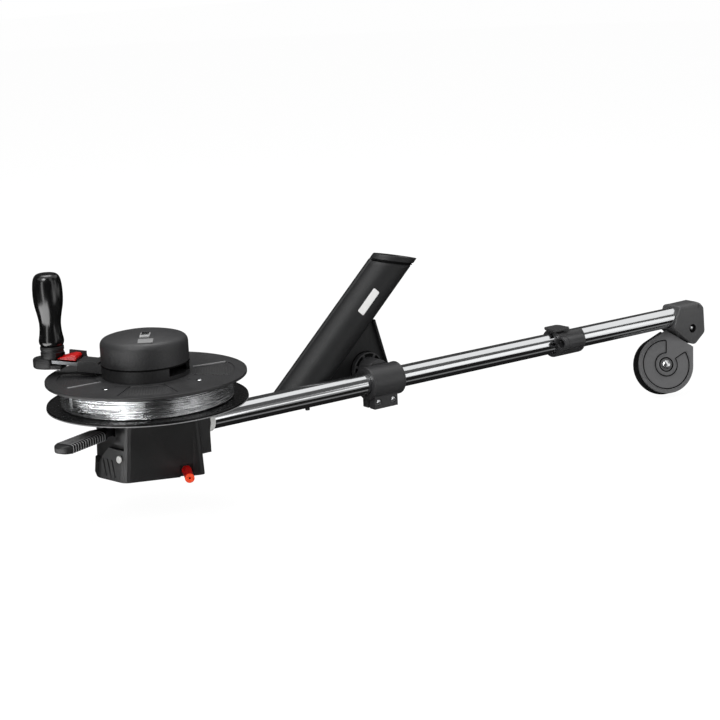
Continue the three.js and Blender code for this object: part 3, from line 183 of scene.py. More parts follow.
# a darker copy of the head's grey plastic, painted shade on the far plate and the sheave
headPaintedShade = moulded("headPaintedShade", (0.007, 0.007, 0.0073), 0.5, slot="grey_plastic", grain=800, depth=0.3, shine=0.2)
labelPaint = moulded("labelPaint", (0.74, 0.74, 0.73), 0.4, slot="pale_plastic", grain=600, depth=0.03, mottle=0.93)
hatchPlastic = moulded("hatchPlastic", (0.012, 0.012, 0.0125), 0.55, grain=1500)
slants = [hatchPlastic.place(turn=(0, 0, math.radians(slant))) for slant in (32, -32)]
slants = [hatchPlastic.add("TexWave", {"Vector": slant, "Scale": 110}) for slant in slants]
hatchPlastic.bump(slants[0].atLeast(slants[1]), 0.5, 0.0005)
brightSteel = metal("brightSteel", "steel", (0.85, 0.86, 0.87), 0.2, (1, 1, 1), 700, 0.12)
wireCore = metal("wireCore", "polished_steel", (0.22, 0.22, 0.23), 0.4, (1, 1, 6), 300, 0.16)
boomSteel = metal("boomSteel", "polished_steel", (0.80, 0.81, 0.82), 0.1, (1, 25, 25), 60, 0.06)
wireSteel = metal("wireSteel", "polished_steel", (0.9, 0.91, 0.92), 0.2, (0.25, 0.25, 6), 240, 0.12)
plainSteel = metal("plainSteel", "steel", (0.62, 0.63, 0.64), 0.28, (1, 1, 1), 500, 0.14)
barSteel = metal("barSteel", "steel", (0.15, 0.155, 0.16), 0.45, (1, 1, 1), 300, 0.2)
drumMetal = metal("drumMetal", "cast_drum", (0.5, 0.51, 0.52), 0.4, (1, 1, 8), 200, 0.2)
windowGlass = Finish("windowGlass", "clear_window", (0.95, 0.97, 0.97), 0.06)
windowGlass.set("Alpha", windowGlass.noise(300) * 0.06 + 0.08)
windowGlass.set("Roughness", windowGlass.noise(500) * 0.06 + 0.03)
print("finishes made")


def placed(name, data):
    # a new object at the origin, in the scene
    item = bpy.data.objects.new(name, data)
    bpy.context.scene.collection.objects.link(item)
    return item


def addPiece(name, place, part, finish, body, replaced=None, sharp=38):
    # a part in millimetres is moved to its place as a mesh, which is welded, closed and turned outwards
    points, faces = moved(place, part)
    mesh = bpy.data.meshes.new(name)
    mesh.from_pydata((points * mm).tolist(), [], faces)
    return settle(name, mesh, finish, body, replaced, sharp)


def settle(name, mesh, finish, body, replaced, sharp):
    work = bmesh.new()
    work.from_mesh(mesh)
    bmesh.ops.remove_doubles(work, verts=work.verts, dist=0.01 * mm)
    bmesh.ops.dissolve_degenerate(work, edges=work.edges, dist=0.005 * mm)
    bmesh.ops.recalc_face_normals(work, faces=work.faces)
    work.to_mesh(mesh)
    work.free()
    mesh.polygons.foreach_set("use_smooth", np.ones(len(mesh.polygons), bool))
    mesh.set_sharp_from_angle(angle=math.radians(sharp))
    mesh.materials.clear()
    mesh.materials.append(finish.material)
    piece = placed(name, mesh)
    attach(piece, body)
    if replaced:
        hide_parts(replaced)
    return piece


def bevelled(piece, width):
    rim = piece.modifiers.new("rim", "BEVEL")
    rim.width = width * mm
    rim.segments = 2
    rim.limit_method = "ANGLE"
    rim.angle_limit = math.radians(35)
    rim.harden_normals = True


def gridFaces(rows, columns, wrapRows=False, wrapColumns=True):
    # four-sided faces of a grid of points stored row by row
    r = np.arange(rows if wrapRows else rows - 1)[:, None]
    c = np.arange(columns if wrapColumns else columns - 1)[None, :]
    r1, c1 = (r + 1) % rows, (c + 1) % columns
    corners = [r * columns + c, r * columns + c1, r1 * columns + c1, r1 * columns + c]
    return np.stack([np.broadcast_to(part, (r.size, c.size)) for part in corners], -1).reshape(-1, 4).tolist()


def endFaces(rows, count):
    # the two faces that close a tube made of rows of so many points
    return [list(range(count))[::-1], list(range((rows - 1) * count, rows * count))]


def circle(count):
    # so many angles, evenly round a full turn
    return np.linspace(0, 2 * np.pi, count, endpoint=False)


def softened(outline, radius, steps=4, closed=True):
    # each corner of an outline gives way to a short curve: the quadratic arc between the points one
    # radius before and one radius behind it, and never over half of a side
    points = np.asarray(outline, float)
    before = np.roll(points, 1, 0) - points
    after = np.roll(points, -1, 0) - points
    reachBefore = np.minimum(radius, 0.45 * np.linalg.norm(before, axis=1))[:, None]
    reachAfter = np.minimum(radius, 0.45 * np.linalg.norm(after, axis=1))[:, None]
    start = points + before / np.linalg.norm(before, axis=1)[:, None] * reachBefore
    end = points + after / np.linalg.norm(after, axis=1)[:, None] * reachAfter
    if not closed:
        start[0] = end[0] = points[0]
        start[-1] = end[-1] = points[-1]
    t = np.linspace(0, 1, steps + 1)[None, :, None]
    curve = start[:, None] * (1 - t) ** 2 + points[:, None] * 2 * t * (1 - t) + end[:, None] * t ** 2
    return curve.reshape(-1, points.shape[1])


def turned(profile, count=96, closed=True):
    # each point (radius, height) of the profile goes round Z: x = r cos a, y = r sin a, z = h
    profile = np.asarray(profile, float)
    angle = circle(count)[None, :]
    r, h = profile[:, :1], profile[:, 1:]
    points = np.stack([r * np.cos(angle), r * np.sin(angle), h + 0 * angle], -1).reshape(-1, 3)
    return points, gridFaces(len(profile), count, wrapRows=closed)


def slab(outline, z0, z1, edge=0.6, steps=3):
    # a flat plate with rounded rims: the outline is carried up in rows that draw in near both faces
    points = np.asarray(outline, float)
    along = np.roll(points, -1, 0) - np.roll(points, 1, 0)
    inward = np.stack([-along[:, 1], along[:, 0]], 1) / np.linalg.norm(along, axis=1)[:, None]
    area = np.sum(points[:, 0] * np.roll(points[:, 1], -1) - points[:, 1] * np.roll(points[:, 0], -1))
    inward *= np.sign(area)
    edge = np.broadcast_to(np.asarray(edge, float), (len(points),))[None]
    a = np.linspace(0, np.pi / 2, steps + 1)[:, None]
    draw = np.concatenate([edge * (1 - np.sin(a)), edge * (1 - np.cos(a))])
    level = np.concatenate([z0 + edge * (1 - np.cos(a)), z1 - edge + edge * np.sin(a)])
    flat = points[None] + inward[None] * draw[:, :, None]
    rows = np.concatenate([flat, level[:, :, None]], 2)
    faces = gridFaces(len(draw), len(points)) + endFaces(len(draw), len(points))
    return rows.reshape(-1, 3), faces


def sweep(path, radius, sides=8, up=(0, 0, 1), closed=False):
    # a round tube: each point of the path gets a ring in the plane square to the path there
    path = np.asarray(path, float)
    run = np.gradient(path, axis=0)
    run /= np.linalg.norm(run, axis=1)[:, None]
    side = np.cross(run, np.asarray(up, float))
    side /= np.linalg.norm(side, axis=1)[:, None]
    rise = np.cross(side, run)
    angle = circle(sides)[None, :, None]
    size = np.broadcast_to(np.asarray(radius, float), (len(path),))[:, None, None]
    rings = path[:, None] + size * (np.cos(angle) * side[:, None] + np.sin(angle) * rise[:, None])
    faces = gridFaces(len(path), sides, wrapRows=closed)
    if not closed:
        faces += endFaces(len(path), sides)
    return rings.reshape(-1, 3), faces


def joined(*parts):
    # several (points, faces) in one
    points, faces, count = [], [], 0
    for more, cells in parts:
        points.append(np.asarray(more, float))
        faces += [[count + index for index in cell] for cell in cells]
        count += len(more)
    return np.concatenate(points), faces


def moved(matrix, part):
    points, faces = part
    grid = np.array(matrix)
    return points @ grid[:3, :3].T + grid[:3, 3], faces


def turn(axis, degrees):
    return Matrix.Rotation(math.radians(degrees), 4, axis)


def shift(x, y, z):
    return Matrix.Translation((x, y, z))


def carved(piece, *cutters):
    # takes closed (points, faces) shapes out of a piece
    for points, faces in cutters:
        mesh = bpy.data.meshes.new("cutter")
        mesh.from_pydata((points * mm).tolist(), [], faces)
        work = bmesh.new()
        work.from_mesh(mesh)
        bmesh.ops.recalc_face_normals(work, faces=work.faces)
        work.to_mesh(mesh)
        work.free()
        tool = placed("cutter", mesh)
        knife = piece.modifiers.new("knife", "BOOLEAN")
        knife.operation = "DIFFERENCE"
        knife.solver = "EXACT"
        knife.object = tool
        bpy.context.view_layer.update()
        solid = piece.evaluated_get(bpy.context.evaluated_depsgraph_get())
        result = bpy.data.meshes.new_from_object(solid)
        piece.modifiers.remove(knife)
        piece.data = result
        bpy.data.objects.remove(tool)
    piece.data.set_sharp_from_angle(angle=math.radians(38))


def block(x0, x1, y0, y1, z0, z1):
    points = np.array([(x, y, z) for x in (x0, x1) for y in (y0, y1) for z in (z0, z1)], float)
    return points, [[0, 1, 3, 2], [4, 6, 7, 5], [0, 4, 5, 1], [2, 3, 7, 6], [0, 2, 6, 4], [1, 5, 7, 3]]


bodyOf = {node: body for body, group in frame["record"]["behaviour"]["bodies"].items() for node in group}


def dressed(node, finish, rim):
    # a node's own shape, welded, freed of its flat triangles and given soft rims
    mesh = frame["nodes"][node].data.copy()
    work = bmesh.new()
    work.from_mesh(mesh)
    bmesh.ops.remove_doubles(work, verts=work.verts, dist=0.01 * mm)
    bmesh.ops.dissolve_limit(work, angle_limit=math.radians(1.0), verts=work.verts, edges=work.edges)
    work.to_mesh(mesh)
    work.free()
    piece = settle(node + "Shape", mesh, finish, bodyOf[node], node, 30)
    if rim:
        bevelled(piece, rim)
    return piece


view = {
    "place": (-0.9713, -1.7492, 0.5682),
    "right": (0.806, -0.590, -0.045), "into": (0.568, 0.792, -0.225),
    "focal": 1900, "frame": 720, "sensor": 36,
}
light = {
    "floor": -0.0508, "reach": 12, "world": 0.34, "paper": 0.9, "glow": 1.06, "lift": 0.001, "aim": (0.25, 0, 0.08),
}
# lamps: place, size and power
lamps = {
    "key": (-2.15, -1.35, 2.5, 1.3, 60), "top": (0.3, 0.5, 2.6, 1.6, 40), "fill": (1.6, -1.6, 1.4, 1.0, 14),
}
# cards that only mirror images see: name, bearings round the spindle, inner and outer reach, low and high
# level, shade. Those with one reach stand up, the others lie.
cards = [
    ("groundDark", -180, 180, 0.02, 9.0, 0.0, 0.0, 0.012),
    ("groundLeftSoft", 184, 222, 0.68, 6.0, 0.001, 0.001, 0.12),
    ("groundLeftNear", 150, 227, 0.25, 0.68, 0.002, 0.002, 6.5),
    ("groundLeft", 195, 209, 0.68, 6.0, 0.002, 0.002, 3.8),
    ("groundRightSoft", 268, 322, 0.5, 6.0, 0.001, 0.001, 0.3),
    ("groundRight", 280, 304, 0.55, 6.0, 0.002, 0.002, 2.0),
    ("wallDark", -180, 180, 5.0, 5.0, 0.0, 2.6, 0.02),
    ("wallLeft", 194, 210, 4.8, 4.8, 0.0, 2.0, 3.0),
    ("wallGap", 227, 270, 4.5, 4.5, 0.0, 7.0, 0.03),
    ("wallRight", 280, 322, 4.8, 4.8, 0.0, 2.6, 1.2),
    ("wallBack", 25, 150, 4.6, 4.6, 0.0, 6.6, 0.06),
    ("wallFront", 296, 330, 4.4, 4.4, 1.75, 4.9, 0.1),
    ("wallFrontLow", 296, 308, 4.4, 4.4, 0.5, 1.75, 0.2),
]
# flat strips of the same kind: name, two opposite corners, level, shade
strips = [
    ("groundBoom", (0.95, -6.0), (6.0, -0.32), 0.003, 0.95),
    ("groundBand", (0.0, -0.125), (1.5, -0.085), 0.004, 0.2),
]


def makeCamera():
    lens = bpy.data.cameras.new("lens")
    lens.sensor_width = view["sensor"]
    lens.lens = view["focal"] * view["sensor"] / view["frame"]
    lens.clip_end = 50
    camera = placed("camera", lens)
    into = Vector(view["into"]).normalized()
    right = (Vector(view["right"]) - Vector(view["right"]).dot(into) * into).normalized()
    up = right.cross(into)
    facing = Matrix((right, up, -into)).transposed().to_4x4()
    camera.matrix_world = shift(*view["place"]) @ facing
    bpy.context.scene.camera = camera


def addLamp(name, x, y, z, size, power):
    lamp = bpy.data.lights.new(name, "AREA")
    lamp.shape = "SQUARE"
    lamp.size = size
    lamp.energy = power
    stand = placed(name, lamp)
    aim = Vector(light["aim"]) - Vector((x, y, z))
    stand.visible_glossy = name != "fill"
    stand.matrix_world = shift(x, y, z) @ aim.to_track_quat("-Z", "Y").to_matrix().to_4x4()


def seenStraight(tree):
    # 1 for the rays that should see plain white: from the camera, in a mirror image and through glass
    path = tree.nodes.new("ShaderNodeLightPath")
    rays = [Link(tree, path.outputs[key]) for key in ("Is Camera Ray", "Is Glossy Ray", "Is Transmission Ray")]
    return rays[0].atLeast(rays[1].atLeast(rays[2]))


def makeWorld():
    world = bpy.data.worlds.new("studio")
    bpy.context.scene.world = world
    world.use_nodes = True
    tree = world.node_tree
    ground = tree.nodes["Background"]
    ground.inputs["Color"].default_value = (1, 1, 1, 1)
    seen = seenStraight(tree)
    feed(tree, ground.inputs["Strength"], seen * (1 - light["world"]) + light["world"])


def makeFloor():
    reach = light["reach"]
    points = [(x, y, light["floor"]) for x, y in ((-reach, -reach), (reach, -reach), (reach, reach), (-reach, reach))]
    mesh = bpy.data.meshes.new("floor")
    mesh.from_pydata(points, [], [[0, 1, 2, 3]])
    floor = placed("floor", mesh)
    paper = Finish("floorPaper", "", (0.9, 0.9, 0.9), 0.9)
    plain = Link(paper.tree, paper.shader.outputs[0])
    glow = paper.add("Emission", {"Color": (1, 1, 1, 1), "Strength": light["glow"]})
    paper.show(paper.add("MixShader", {0: seenStraight(paper.tree) * light["paper"], 1: plain, 2: glow}))
    mesh.materials.append(paper.material)


def addCard(name, points, faces, shade):
    mesh = bpy.data.meshes.new(name)
    mesh.from_pydata(points, [], faces)
    card = placed(name, mesh)
    for rays in ("camera", "diffuse", "shadow", "transmission"):
        setattr(card, "visible_" + rays, False)
    paint = Finish(name + "Paint", "", (0, 0, 0), 1)
    paint.show(paint.add("Emission", {"Color": (shade, shade, shade, 1)}))
    paint.tree.nodes.remove(paint.shader)
    mesh.materials.append(paint.material)


def arcCard(name, start, end, inner, outer, low, high, shade):
    # a bent card: two rows of points at the bearings from start to end, one at each reach and level
    bearing = np.radians(np.linspace(start, end, 25))
    ground = light["floor"] + light["lift"]
    rows = [np.stack([reach * np.cos(bearing), reach * np.sin(bearing), 0 * bearing + ground + level], 1)
            for reach, level in ((inner, low), (outer, high))]
    addCard(name, np.concatenate(rows).tolist(), gridFaces(2, 25, wrapColumns=False), shade)


makeCamera()
makeWorld()
makeFloor()
for name, place in lamps.items():
    addLamp(name, *place)
for card in cards:
    arcCard(*card)
for name, (x0, y0), (x1, y1), level, shade in strips:
    level += light["floor"] + light["lift"]
    addCard(name, [(x0, y0, level), (x1, y0, level), (x1, y1, level), (x0, y1, level)], [[0, 1, 2, 3]], shade)
print("camera, floor and light set")

home = shift(0, 0, 0)
alongX = turn("Y", 90)
sideways = turn("X", 90)  # a plate drawn in X and Y stands in X and Z, its levels run along -Y
# places in the model: the boom's middle line, then the parts on it and on the spool
atBoom = shift(0, -30, 50.6)
alongBoom = atBoom @ alongX
atCrank = shift(0, 0, 105) @ turn("Z", 132.8)
atArm = atCrank @ shift(88, 0, 13.8) @ turn("Y", -5.7)
atLever = shift(-36, 7, 50.5) @ turn("Z", 202.3)
atPin = shift(8.8, -57.4, 6.6) @ turn("Z", 245) @ alongX
atHolder = shift(292, -30, 59) @ turn("Y", -43.4)
atPivot = shift(292, -30, 59) @ sideways
atPulley = shift(745, -30, -10.7) @ turn("Y", 39) @ turn("Z", -28)
atPlate = atPulley @ sideways
atWindow = shift(-4, -12, 0) @ turn("Z", -36)
atEndBolt = shift(783, -30, 34.5) @ sideways
atPocket = shift(0, -50.5, 53) @ alongX


def smoothed(profile):
    # points along a Catmull-Rom curve through the profile, each side divided into four
    p = np.asarray(profile, float)
    p = np.concatenate([2 * p[:1] - p[1:2], p, 2 * p[-1:] - p[-2:-1]])
    t = np.linspace(0, 1, 4, endpoint=False)[None, :, None]
    p0, p1, p2, p3 = (p[i:len(p) - 3 + i, None] for i in range(4))
    bend = (2 * p0 - 5 * p1 + 4 * p2 - p3) * t ** 2 + (3 * p1 - p0 - 3 * p2 + p3) * t ** 3
    curve = 0.5 * (2 * p1 + (p2 - p0) * t + bend)
    return np.concatenate([curve.reshape(-1, p.shape[1]), p[-2:-1]])


def arc(radius, start, end, count):
    # points on a circle between two angles in degrees
    angle = np.radians(np.linspace(start, end, count))
    return np.stack([radius * np.cos(angle), radius * np.sin(angle)], 1)


def sector(inner, outer, start, end, count=24):
    return np.concatenate([arc(outer, start, end, count), arc(inner, end, start, count)])


def oblong(x0, x1, y0, y1, radius, steps):
    # a rectangle with rounded corners
    return softened([(x0, y0), (x1, y0), (x1, y1), (x0, y1)], radius, steps)


def lifted(outline, level):
    # the points of a flat outline, all at one level
    return np.concatenate([outline, np.full((len(outline), 1), level)], 1)


def cylinder(radius, z0, z1, count):
    return turned([(0, z0), (radius, z0), (radius, z1), (0, z1)], count, False)


def domedScrew(node, matrix, head, dome, seat, tip, shank, slot=0.22):
    # a screw along +Z, its domed head with a cross recess; heights run from the tip to the head
    r = np.linspace(head, 0.0, 9)
    crown = np.stack([r, seat + dome * (0.45 + 0.55 * np.sqrt(1 - (r / head) ** 2 * 0.98))], 1)
    profile = np.concatenate([[[0, tip], [shank, tip + 0.4], [shank, seat], [head, seat]], crown])
    piece = addPiece(node + "Shape", matrix, turned(profile, 40, False), brightSteel, bodyOf[node], node)
    if slot:
        bars = [block(-head * a, head * a, -head * b, head * b, seat + 0.35 * dome, seat + 3 * dome)
                for a, b in ((0.62, slot * 0.6), (slot * 0.6, 0.62))]
        carved(piece, *(moved(matrix, bar) for bar in bars))


# wound wire: three passes up and down over the core, each turn wavering a little; a waver has a size and a speed
winding = {
    "turns": 66, "steps": 110, "passes": 3, "radius": 0.6, "inner": 90.5, "rise": 0.75, "topPass": 2.55, "limit": 92.3,
    "low": 78.6, "high": 100.9, "slack": 0.15, "waver": ((0.5, 2.7), (0.42, 5.9), (0.34, 10.3), (0.22, 17.1)),
    "reach": 92, "stretch": 3.0,
}


def windingPath():
    # z = a slow zigzag between the flanges + wavers; r = inner + rise * pass + a small waver, under the limit
    turns, low, high, slack = (winding[key] for key in ("turns", "low", "high", "slack"))
    t = np.linspace(0, turns, turns * winding["steps"])
    part = t / turns * winding["passes"]
    zigzag = np.abs((part + 1) % 2 - 1)
    phases = rng.uniform(0, 6, len(winding["waver"]))
    waver = sum(size * np.sin(t * speed + phase) for (size, speed), phase in zip(winding["waver"], phases))
    z = np.clip(low + (high - low) * zigzag + waver, low - slack, high + slack)
    r = winding["inner"] + winding["rise"] * np.minimum(part, winding["topPass"]) + 0.3 * np.sin(t * 9.3 + 1)
    r = np.minimum(r, winding["limit"])
    angle = 2 * np.pi * t
    return np.stack([r * np.cos(angle), r * np.sin(angle), z], 1)


def markLay(piece):
    # texture coordinates of the wire: millimetres along the turn, and its stretched height
    layer = piece.data.uv_layers.new(name="lay")
    corner = np.empty(len(piece.data.loops), np.int32)
    piece.data.loops.foreach_get("vertex_index", corner)
    place = np.empty(len(piece.data.vertices) * 3)
    piece.data.vertices.foreach_get("co", place)
    place = place.reshape(-1, 3)[corner] / mm
    along = np.arctan2(place[:, 1], place[:, 0]) * winding["reach"]
    layer.data.foreach_set("uv", np.stack([along, place[:, 2] * winding["stretch"]], 1).ravel())


lay = wireSteel.add("UVMap", {}, uv_map="lay")
strands = wireSteel.add("TexWave", {"Vector": lay, "Scale": 0.33}, bands_direction="DIAGONAL")
wireSteel.bump(strands, 0.5, 0.00012)
drawn = wireSteel.add("Mapping", {"Vector": lay, "Scale": (0.055, 0.5, 1)})
streaks = wireSteel.add("TexNoise", {"Vector": drawn, "Scale": 1.0, "Detail": 3.0})
wireSteel.tint(((streaks - 0.5) * 5).atLeast(0.0).atMost(1.0), (0.13, 0.13, 0.14))
wire = sweep(windingPath(), winding["radius"], 6)
markLay(addPiece("woundWire", home, wire, wireSteel, "spool", "wire_winding", 80))
print("wire wound")

# upper flange with sunk fields, ribs beside them and hatched inlays; bearings in degrees
flange = {
    "fields": (-29, 61, 157, 241), "screws": (-67, 23, 113, 203), "circle": 70, "notch": 122,
    "ribs": (-49, 41, 81, 137), "paintedLitRibs": (177, -9), "ticks": (20, 110, 206, 290),
}
atScrews = [turn("Z", bearing) @ shift(flange["circle"], 0, 0) for bearing in flange["screws"]]


def fieldSlabs(inner, outer, half, corner, steps, *levels):
    # a slab over each sunk field, between two radii and so many degrees to each side
    outlines = [sector(inner, outer, field - half, field + half) for field in flange["fields"]]
    return [slab(softened(outline, corner, steps), *levels) for outline in outlines]


def turnedCopies(part, bearings):
    return [moved(turn("Z", bearing), part) for bearing in bearings]


profile = softened([(9.3, 102.3), (106.3, 102.3), (106.3, 101.8), (108.3, 101.8), (108.3, 105), (106.4, 105),
                    (106.2, 104.7), (52.4, 104.7), (52, 105), (9.3, 105)], 0.28, 2)
upperFlange = addPiece("upperFlange", home, turned(profile, 180), coarsePlastic, "spool", "spool_upper")
sink = turned([(0, 103.3), (3.7, 103.3), (4.2, 107), (0, 107)], 32, False)
notch = moved(turn("Z", flange["notch"]), block(105.3, 111, -2.5, 2.5, 100, 108))
sunkFields = fieldSlabs(54, 95.5, 19.5, 2.2, 4, 103.8, 107, 0.4)
carved(upperFlange, *sunkFields, *(moved(place, sink) for place in atScrews), notch)
bevelled(upperFlange, 0.22)
rib = slab(softened([(54, -1), (92.4, -1), (93, 0), (92.4, 1), (54, 1)], 0.4, 2), 103.9, 105.7, 0.45)
tick = slab(oblong(56, 60, -0.4, 0.4, 0.3, 2), 104.5, 105, 0.15)
ribs = turnedCopies(rib, flange["ribs"]) + turnedCopies(tick, flange["ticks"])
addPiece("flangeRibs", home, joined(*ribs), coarsePlastic, "spool")
# two ribs that face the light are drawn in paler plastic, a painted highlight
addPiece("flangeRibsPaintedLight", home, joined(*turnedCopies(rib, flange["paintedLitRibs"])), paintedHighlightPlastic, "spool")
inlays = fieldSlabs(56.5, 93, 17.6, 1.5, 3, 103.6, 103.95, 0.12)
addPiece("flangeInlays", home, joined(*inlays), hatchPlastic, "spool")
for number, place in enumerate(atScrews, 1):
    domedScrew(f"spool_screw_{number}", place, head=3.2, dome=1.5, seat=103.6, tip=86.6, shank=1.6)

# lower flange with the drum, its hub and four screw posts
profile = softened([(9.3, 74.8), (106.3, 74.8), (106.5, 74.3), (108.3, 74.3), (108.3, 77.7), (106.5, 77.7),
                    (106.2, 77.2), (80.5, 77.2), (80.5, 102.0), (78, 102.0), (78, 77.2), (14, 77.2), (14, 102),
                    (9.3, 102)], 0.3, 2)
post = turned([(1.9, 77), (4.6, 77), (4.6, 101.9), (1.9, 101.9)], 24)
lowerFlange = joined(turned(profile, 180), *(moved(place, post) for place in atScrews))
addPiece("lowerFlange", home, lowerFlange, slickPlastic, "spool", "spool_lower")
# the lower rim's thin line of light is a painted highlight: a pale ring, under a dark ring of painted shade
for name, reach, level, finish in (("rimGleam", 108.1, 74.75, paintedHighlightPlastic), ("rimShade", 108.05, 76.1, darkPartsAndShade)):
    addPiece(name, home, sweep(lifted(arc(reach, 0, 358, 180), level), 0.6, 8, closed=True), finish, "spool")
print("spool made")

# boom tube with a rolled edge at both ends
boom = {"inner": 11.1, "outer": 12.7, "start": 27, "end": 789}
profile = oblong(boom["inner"], boom["outer"], boom["start"], boom["end"], 0.35, 3)
between = [(boom["outer"], x) for x in np.linspace(60, 780, 13)]
tube = turned(np.concatenate([profile[:8], between, profile[8:]]), 128)
addPiece("boomTube", alongBoom, tube, boomSteel, "frame", "boom_tube", 50)

# turned knob; a point has a radius and a height over the crank
knobOutline = [(11.0, 32.2), (12.6, 32.9), (13.55, 35.6), (13.5, 38.6), (12.3, 45.2), (11.7, 53.2), (12.2, 60.2),
               (13.7, 68.4), (15.2, 75.6), (16.0, 82.8), (16.2, 89.8), (15.9, 97.0), (15.0, 103.3), (13.3, 107.6),
               (10.2, 110.2), (5.2, 111.1)]
knobBore = [(0, 111.2), (0, 106), (4.3, 106), (4.3, 32.2)]
atFoot = atCrank @ shift(104, 0, 0)
knob = turned(np.concatenate([smoothed(knobOutline), knobBore]), 112, False)
addPiece("knobGrip", atFoot, knob, knobPlastic, "knob", "knob", 60)

# crank foot: low rounded nose, a strap under the bar, a cheek behind it and a banded collar under the knob
nose = softened([(-2, -12.2), (9, -12.2), (18, -9.5), (22.5, -3.5), (22.5, 3.5), (18, 9.5), (9, 12.2), (-2, 12.2)],
                4, 5)
strap = oblong(-13, 4, -11.4, 11.4, 1.5, 3)
cheek = oblong(-10, 4, -12.2, -9.9, 0.6, 2)
foot = joined(slab(nose, 6.6, 18.6, 3.0, 5), slab(strap, 7, 11.6, 0.7), slab(cheek, 7, 22, 0.5))
addPiece("footShape", atFoot, foot, frameDark, "crank_slide_bar", "crank_foot")
profile = softened([(4.2, 18), (12.2, 18), (12.8, 19), (12.8, 24.9), (12.1, 25.5), (12.1, 26.5), (12.9, 27.1),
                    (12.9, 30.7), (12.2, 31.5), (4.2, 31.5)], 0.35, 3)
collar = addPiece("footCollar", atFoot, turned(profile, 96), frameDark, "crank_slide_bar")
carved(collar, moved(atArm, block(-20, 9.4, -10.8, 14, -2, 10.3)))
bevelled(collar, 0.3)

# red latch: a low wedge as wide as the bar, its tongue over the foot
latchSide = softened([(-2.2, -2.7), (17.6, -2.7), (18.2, -1.9), (14.6, -0.5), (3.2, 3.3), (-1.8, 3.3), (-3.6, 1.0),
                      (-3.4, -0.8)], 0.7, 4)
latch = moved(atArm @ shift(-10, 0, 6) @ sideways, slab(latchSide, -8.9, 10.1, 0.8, 4))
addPiece("latchShape", home, latch, redPlastic, "latch", "latch")
print("foot and latch made")

# counter cap with the window's opening and a blank label
capOutline = [(47.3, 119.1), (47.3, 120), (47.3, 134), (47.25, 139.5), (46.6, 142.6), (44.6, 145.3), (41.0, 147.0),
              (33.0, 149.0), (25.0, 150.6), (12.0, 151.8), (0.0, 152.1)]
capInside = [(0, 149.1), (24, 147.8), (40, 144.2), (44, 141.5), (44.3, 136), (44.3, 119.1)]
cap = turned(np.concatenate([smoothed(capOutline), capInside]), 144, False)
capShell = addPiece("capShell", home, cap, capPlastic, "frame", "counter_cap")
opening = oblong(-4.2, 4.2, -9, 6, 0.9, 4)
carved(capShell, moved(atWindow, slab(opening, 138.1, 154, 0.1)))
bevelled(capShell, 0.35)
addPiece("capSeam", home, turned(oblong(45.2, 47.5, 117.9, 119.7, 0.1, 1), 120), darkPartsAndShade, "frame")
label = slab(oblong(-8, 8, -5.2, 5.2, 0.8, 4), -0.4, 0.25, 0.12)
atLabel = shift(-15.6, -31.6, 148.75) @ turn("Z", -34) @ turn("X", 12)
addPiece("capLabel", atLabel, label, greyLabel, "frame")
rim = slab(oblong(-5.2, 5.2, -10.4, 7.2, 1.2, 4), 150.0, 152.3, 0.3)
bezel = addPiece("windowRim", atWindow @ turn("X", 1.4), rim, bezelPlastic, "frame")
carved(bezel, moved(atWindow, slab(opening, 140, 154, 0.1)))
print("cap made")


def figureMesh(figure, height):
    # the outline of one figure as a flat mesh, points in millimetres round its own middle
    curve = bpy.data.curves.new("figure", "FONT")
    curve.body = figure
    curve.size = height
    curve.align_x = "CENTER"
    curve.align_y = "CENTER"
    text = placed("figure", curve)
    bpy.context.view_layer.update()
    mesh = bpy.data.meshes.new_from_object(text.evaluated_get(bpy.context.evaluated_depsgraph_get()))
    bpy.data.objects.remove(text)
    points = np.empty(len(mesh.vertices) * 3)
    mesh.vertices.foreach_get("co", points)
    return points.reshape(-1, 3), [list(cell.vertices) for cell in mesh.polygons]


# number wheels side by side under the window
wheel = {"radius": 10.9, "bore": 1.5, "half": 1.38, "level": 138.1, "pitch": 2.9, "digit": 3.9, "lift": 0.05}


def bentFigure(number, part, middle):
    # a figure is laid round its wheel: its height becomes the angle y / radius
    points, faces = part
    angle = points[:, 1] / wheel["radius"] + math.radians(36 * number)
    reach = wheel["radius"] + wheel["lift"]
    bent = np.stack([points[:, 0] + middle, reach * np.sin(angle), wheel["level"] + reach * np.cos(angle)], 1)
    return bent, faces


figures = [figureMesh(str(number), wheel["digit"]) for number in range(10)]
for index, name in enumerate(("hundreds", "tens", "units")):
    middle = (index - 1) * wheel["pitch"]
    profile = oblong(wheel["bore"], wheel["radius"], -wheel["half"], wheel["half"], 0.25, 2)
    disc = moved(atWindow @ shift(middle, 0, wheel["level"]) @ alongX, turned(profile, 60))
    addPiece(name + "Wheel", home, disc, palePlastic, name + "_wheel", name + "_wheel")
    bent = [bentFigure(number, part, middle) for number, part in enumerate(figures)]
    addPiece(name + "Figures", atWindow, joined(*bent), darkPartsAndShade, name + "_wheel")
print("wheels made")

# brake lever: flat neck, wide grip with ribs that wrap round it, smooth rounded tip
lever = {
    "neck": 5.0, "half": 11.5, "thick": 5.0, "shoulder": (23, 32), "start": 5, "straight": 85.5, "tip": 11.5,
    "ribs": (29, 88), "count": 15, "depth": 2.3, "lastLine": 87, "square": 0.42, "around": 72,
}


def leverSection(half, thick):
    # between an oval and a box: half * |cos a| ^ square with the cosine's sign, and the same upwards with sin
    a = circle(lever["around"])
    across, upward = (np.sign(part) * np.abs(part) ** lever["square"] for part in (np.cos(a), np.sin(a)))
    return half * across, thick * upward


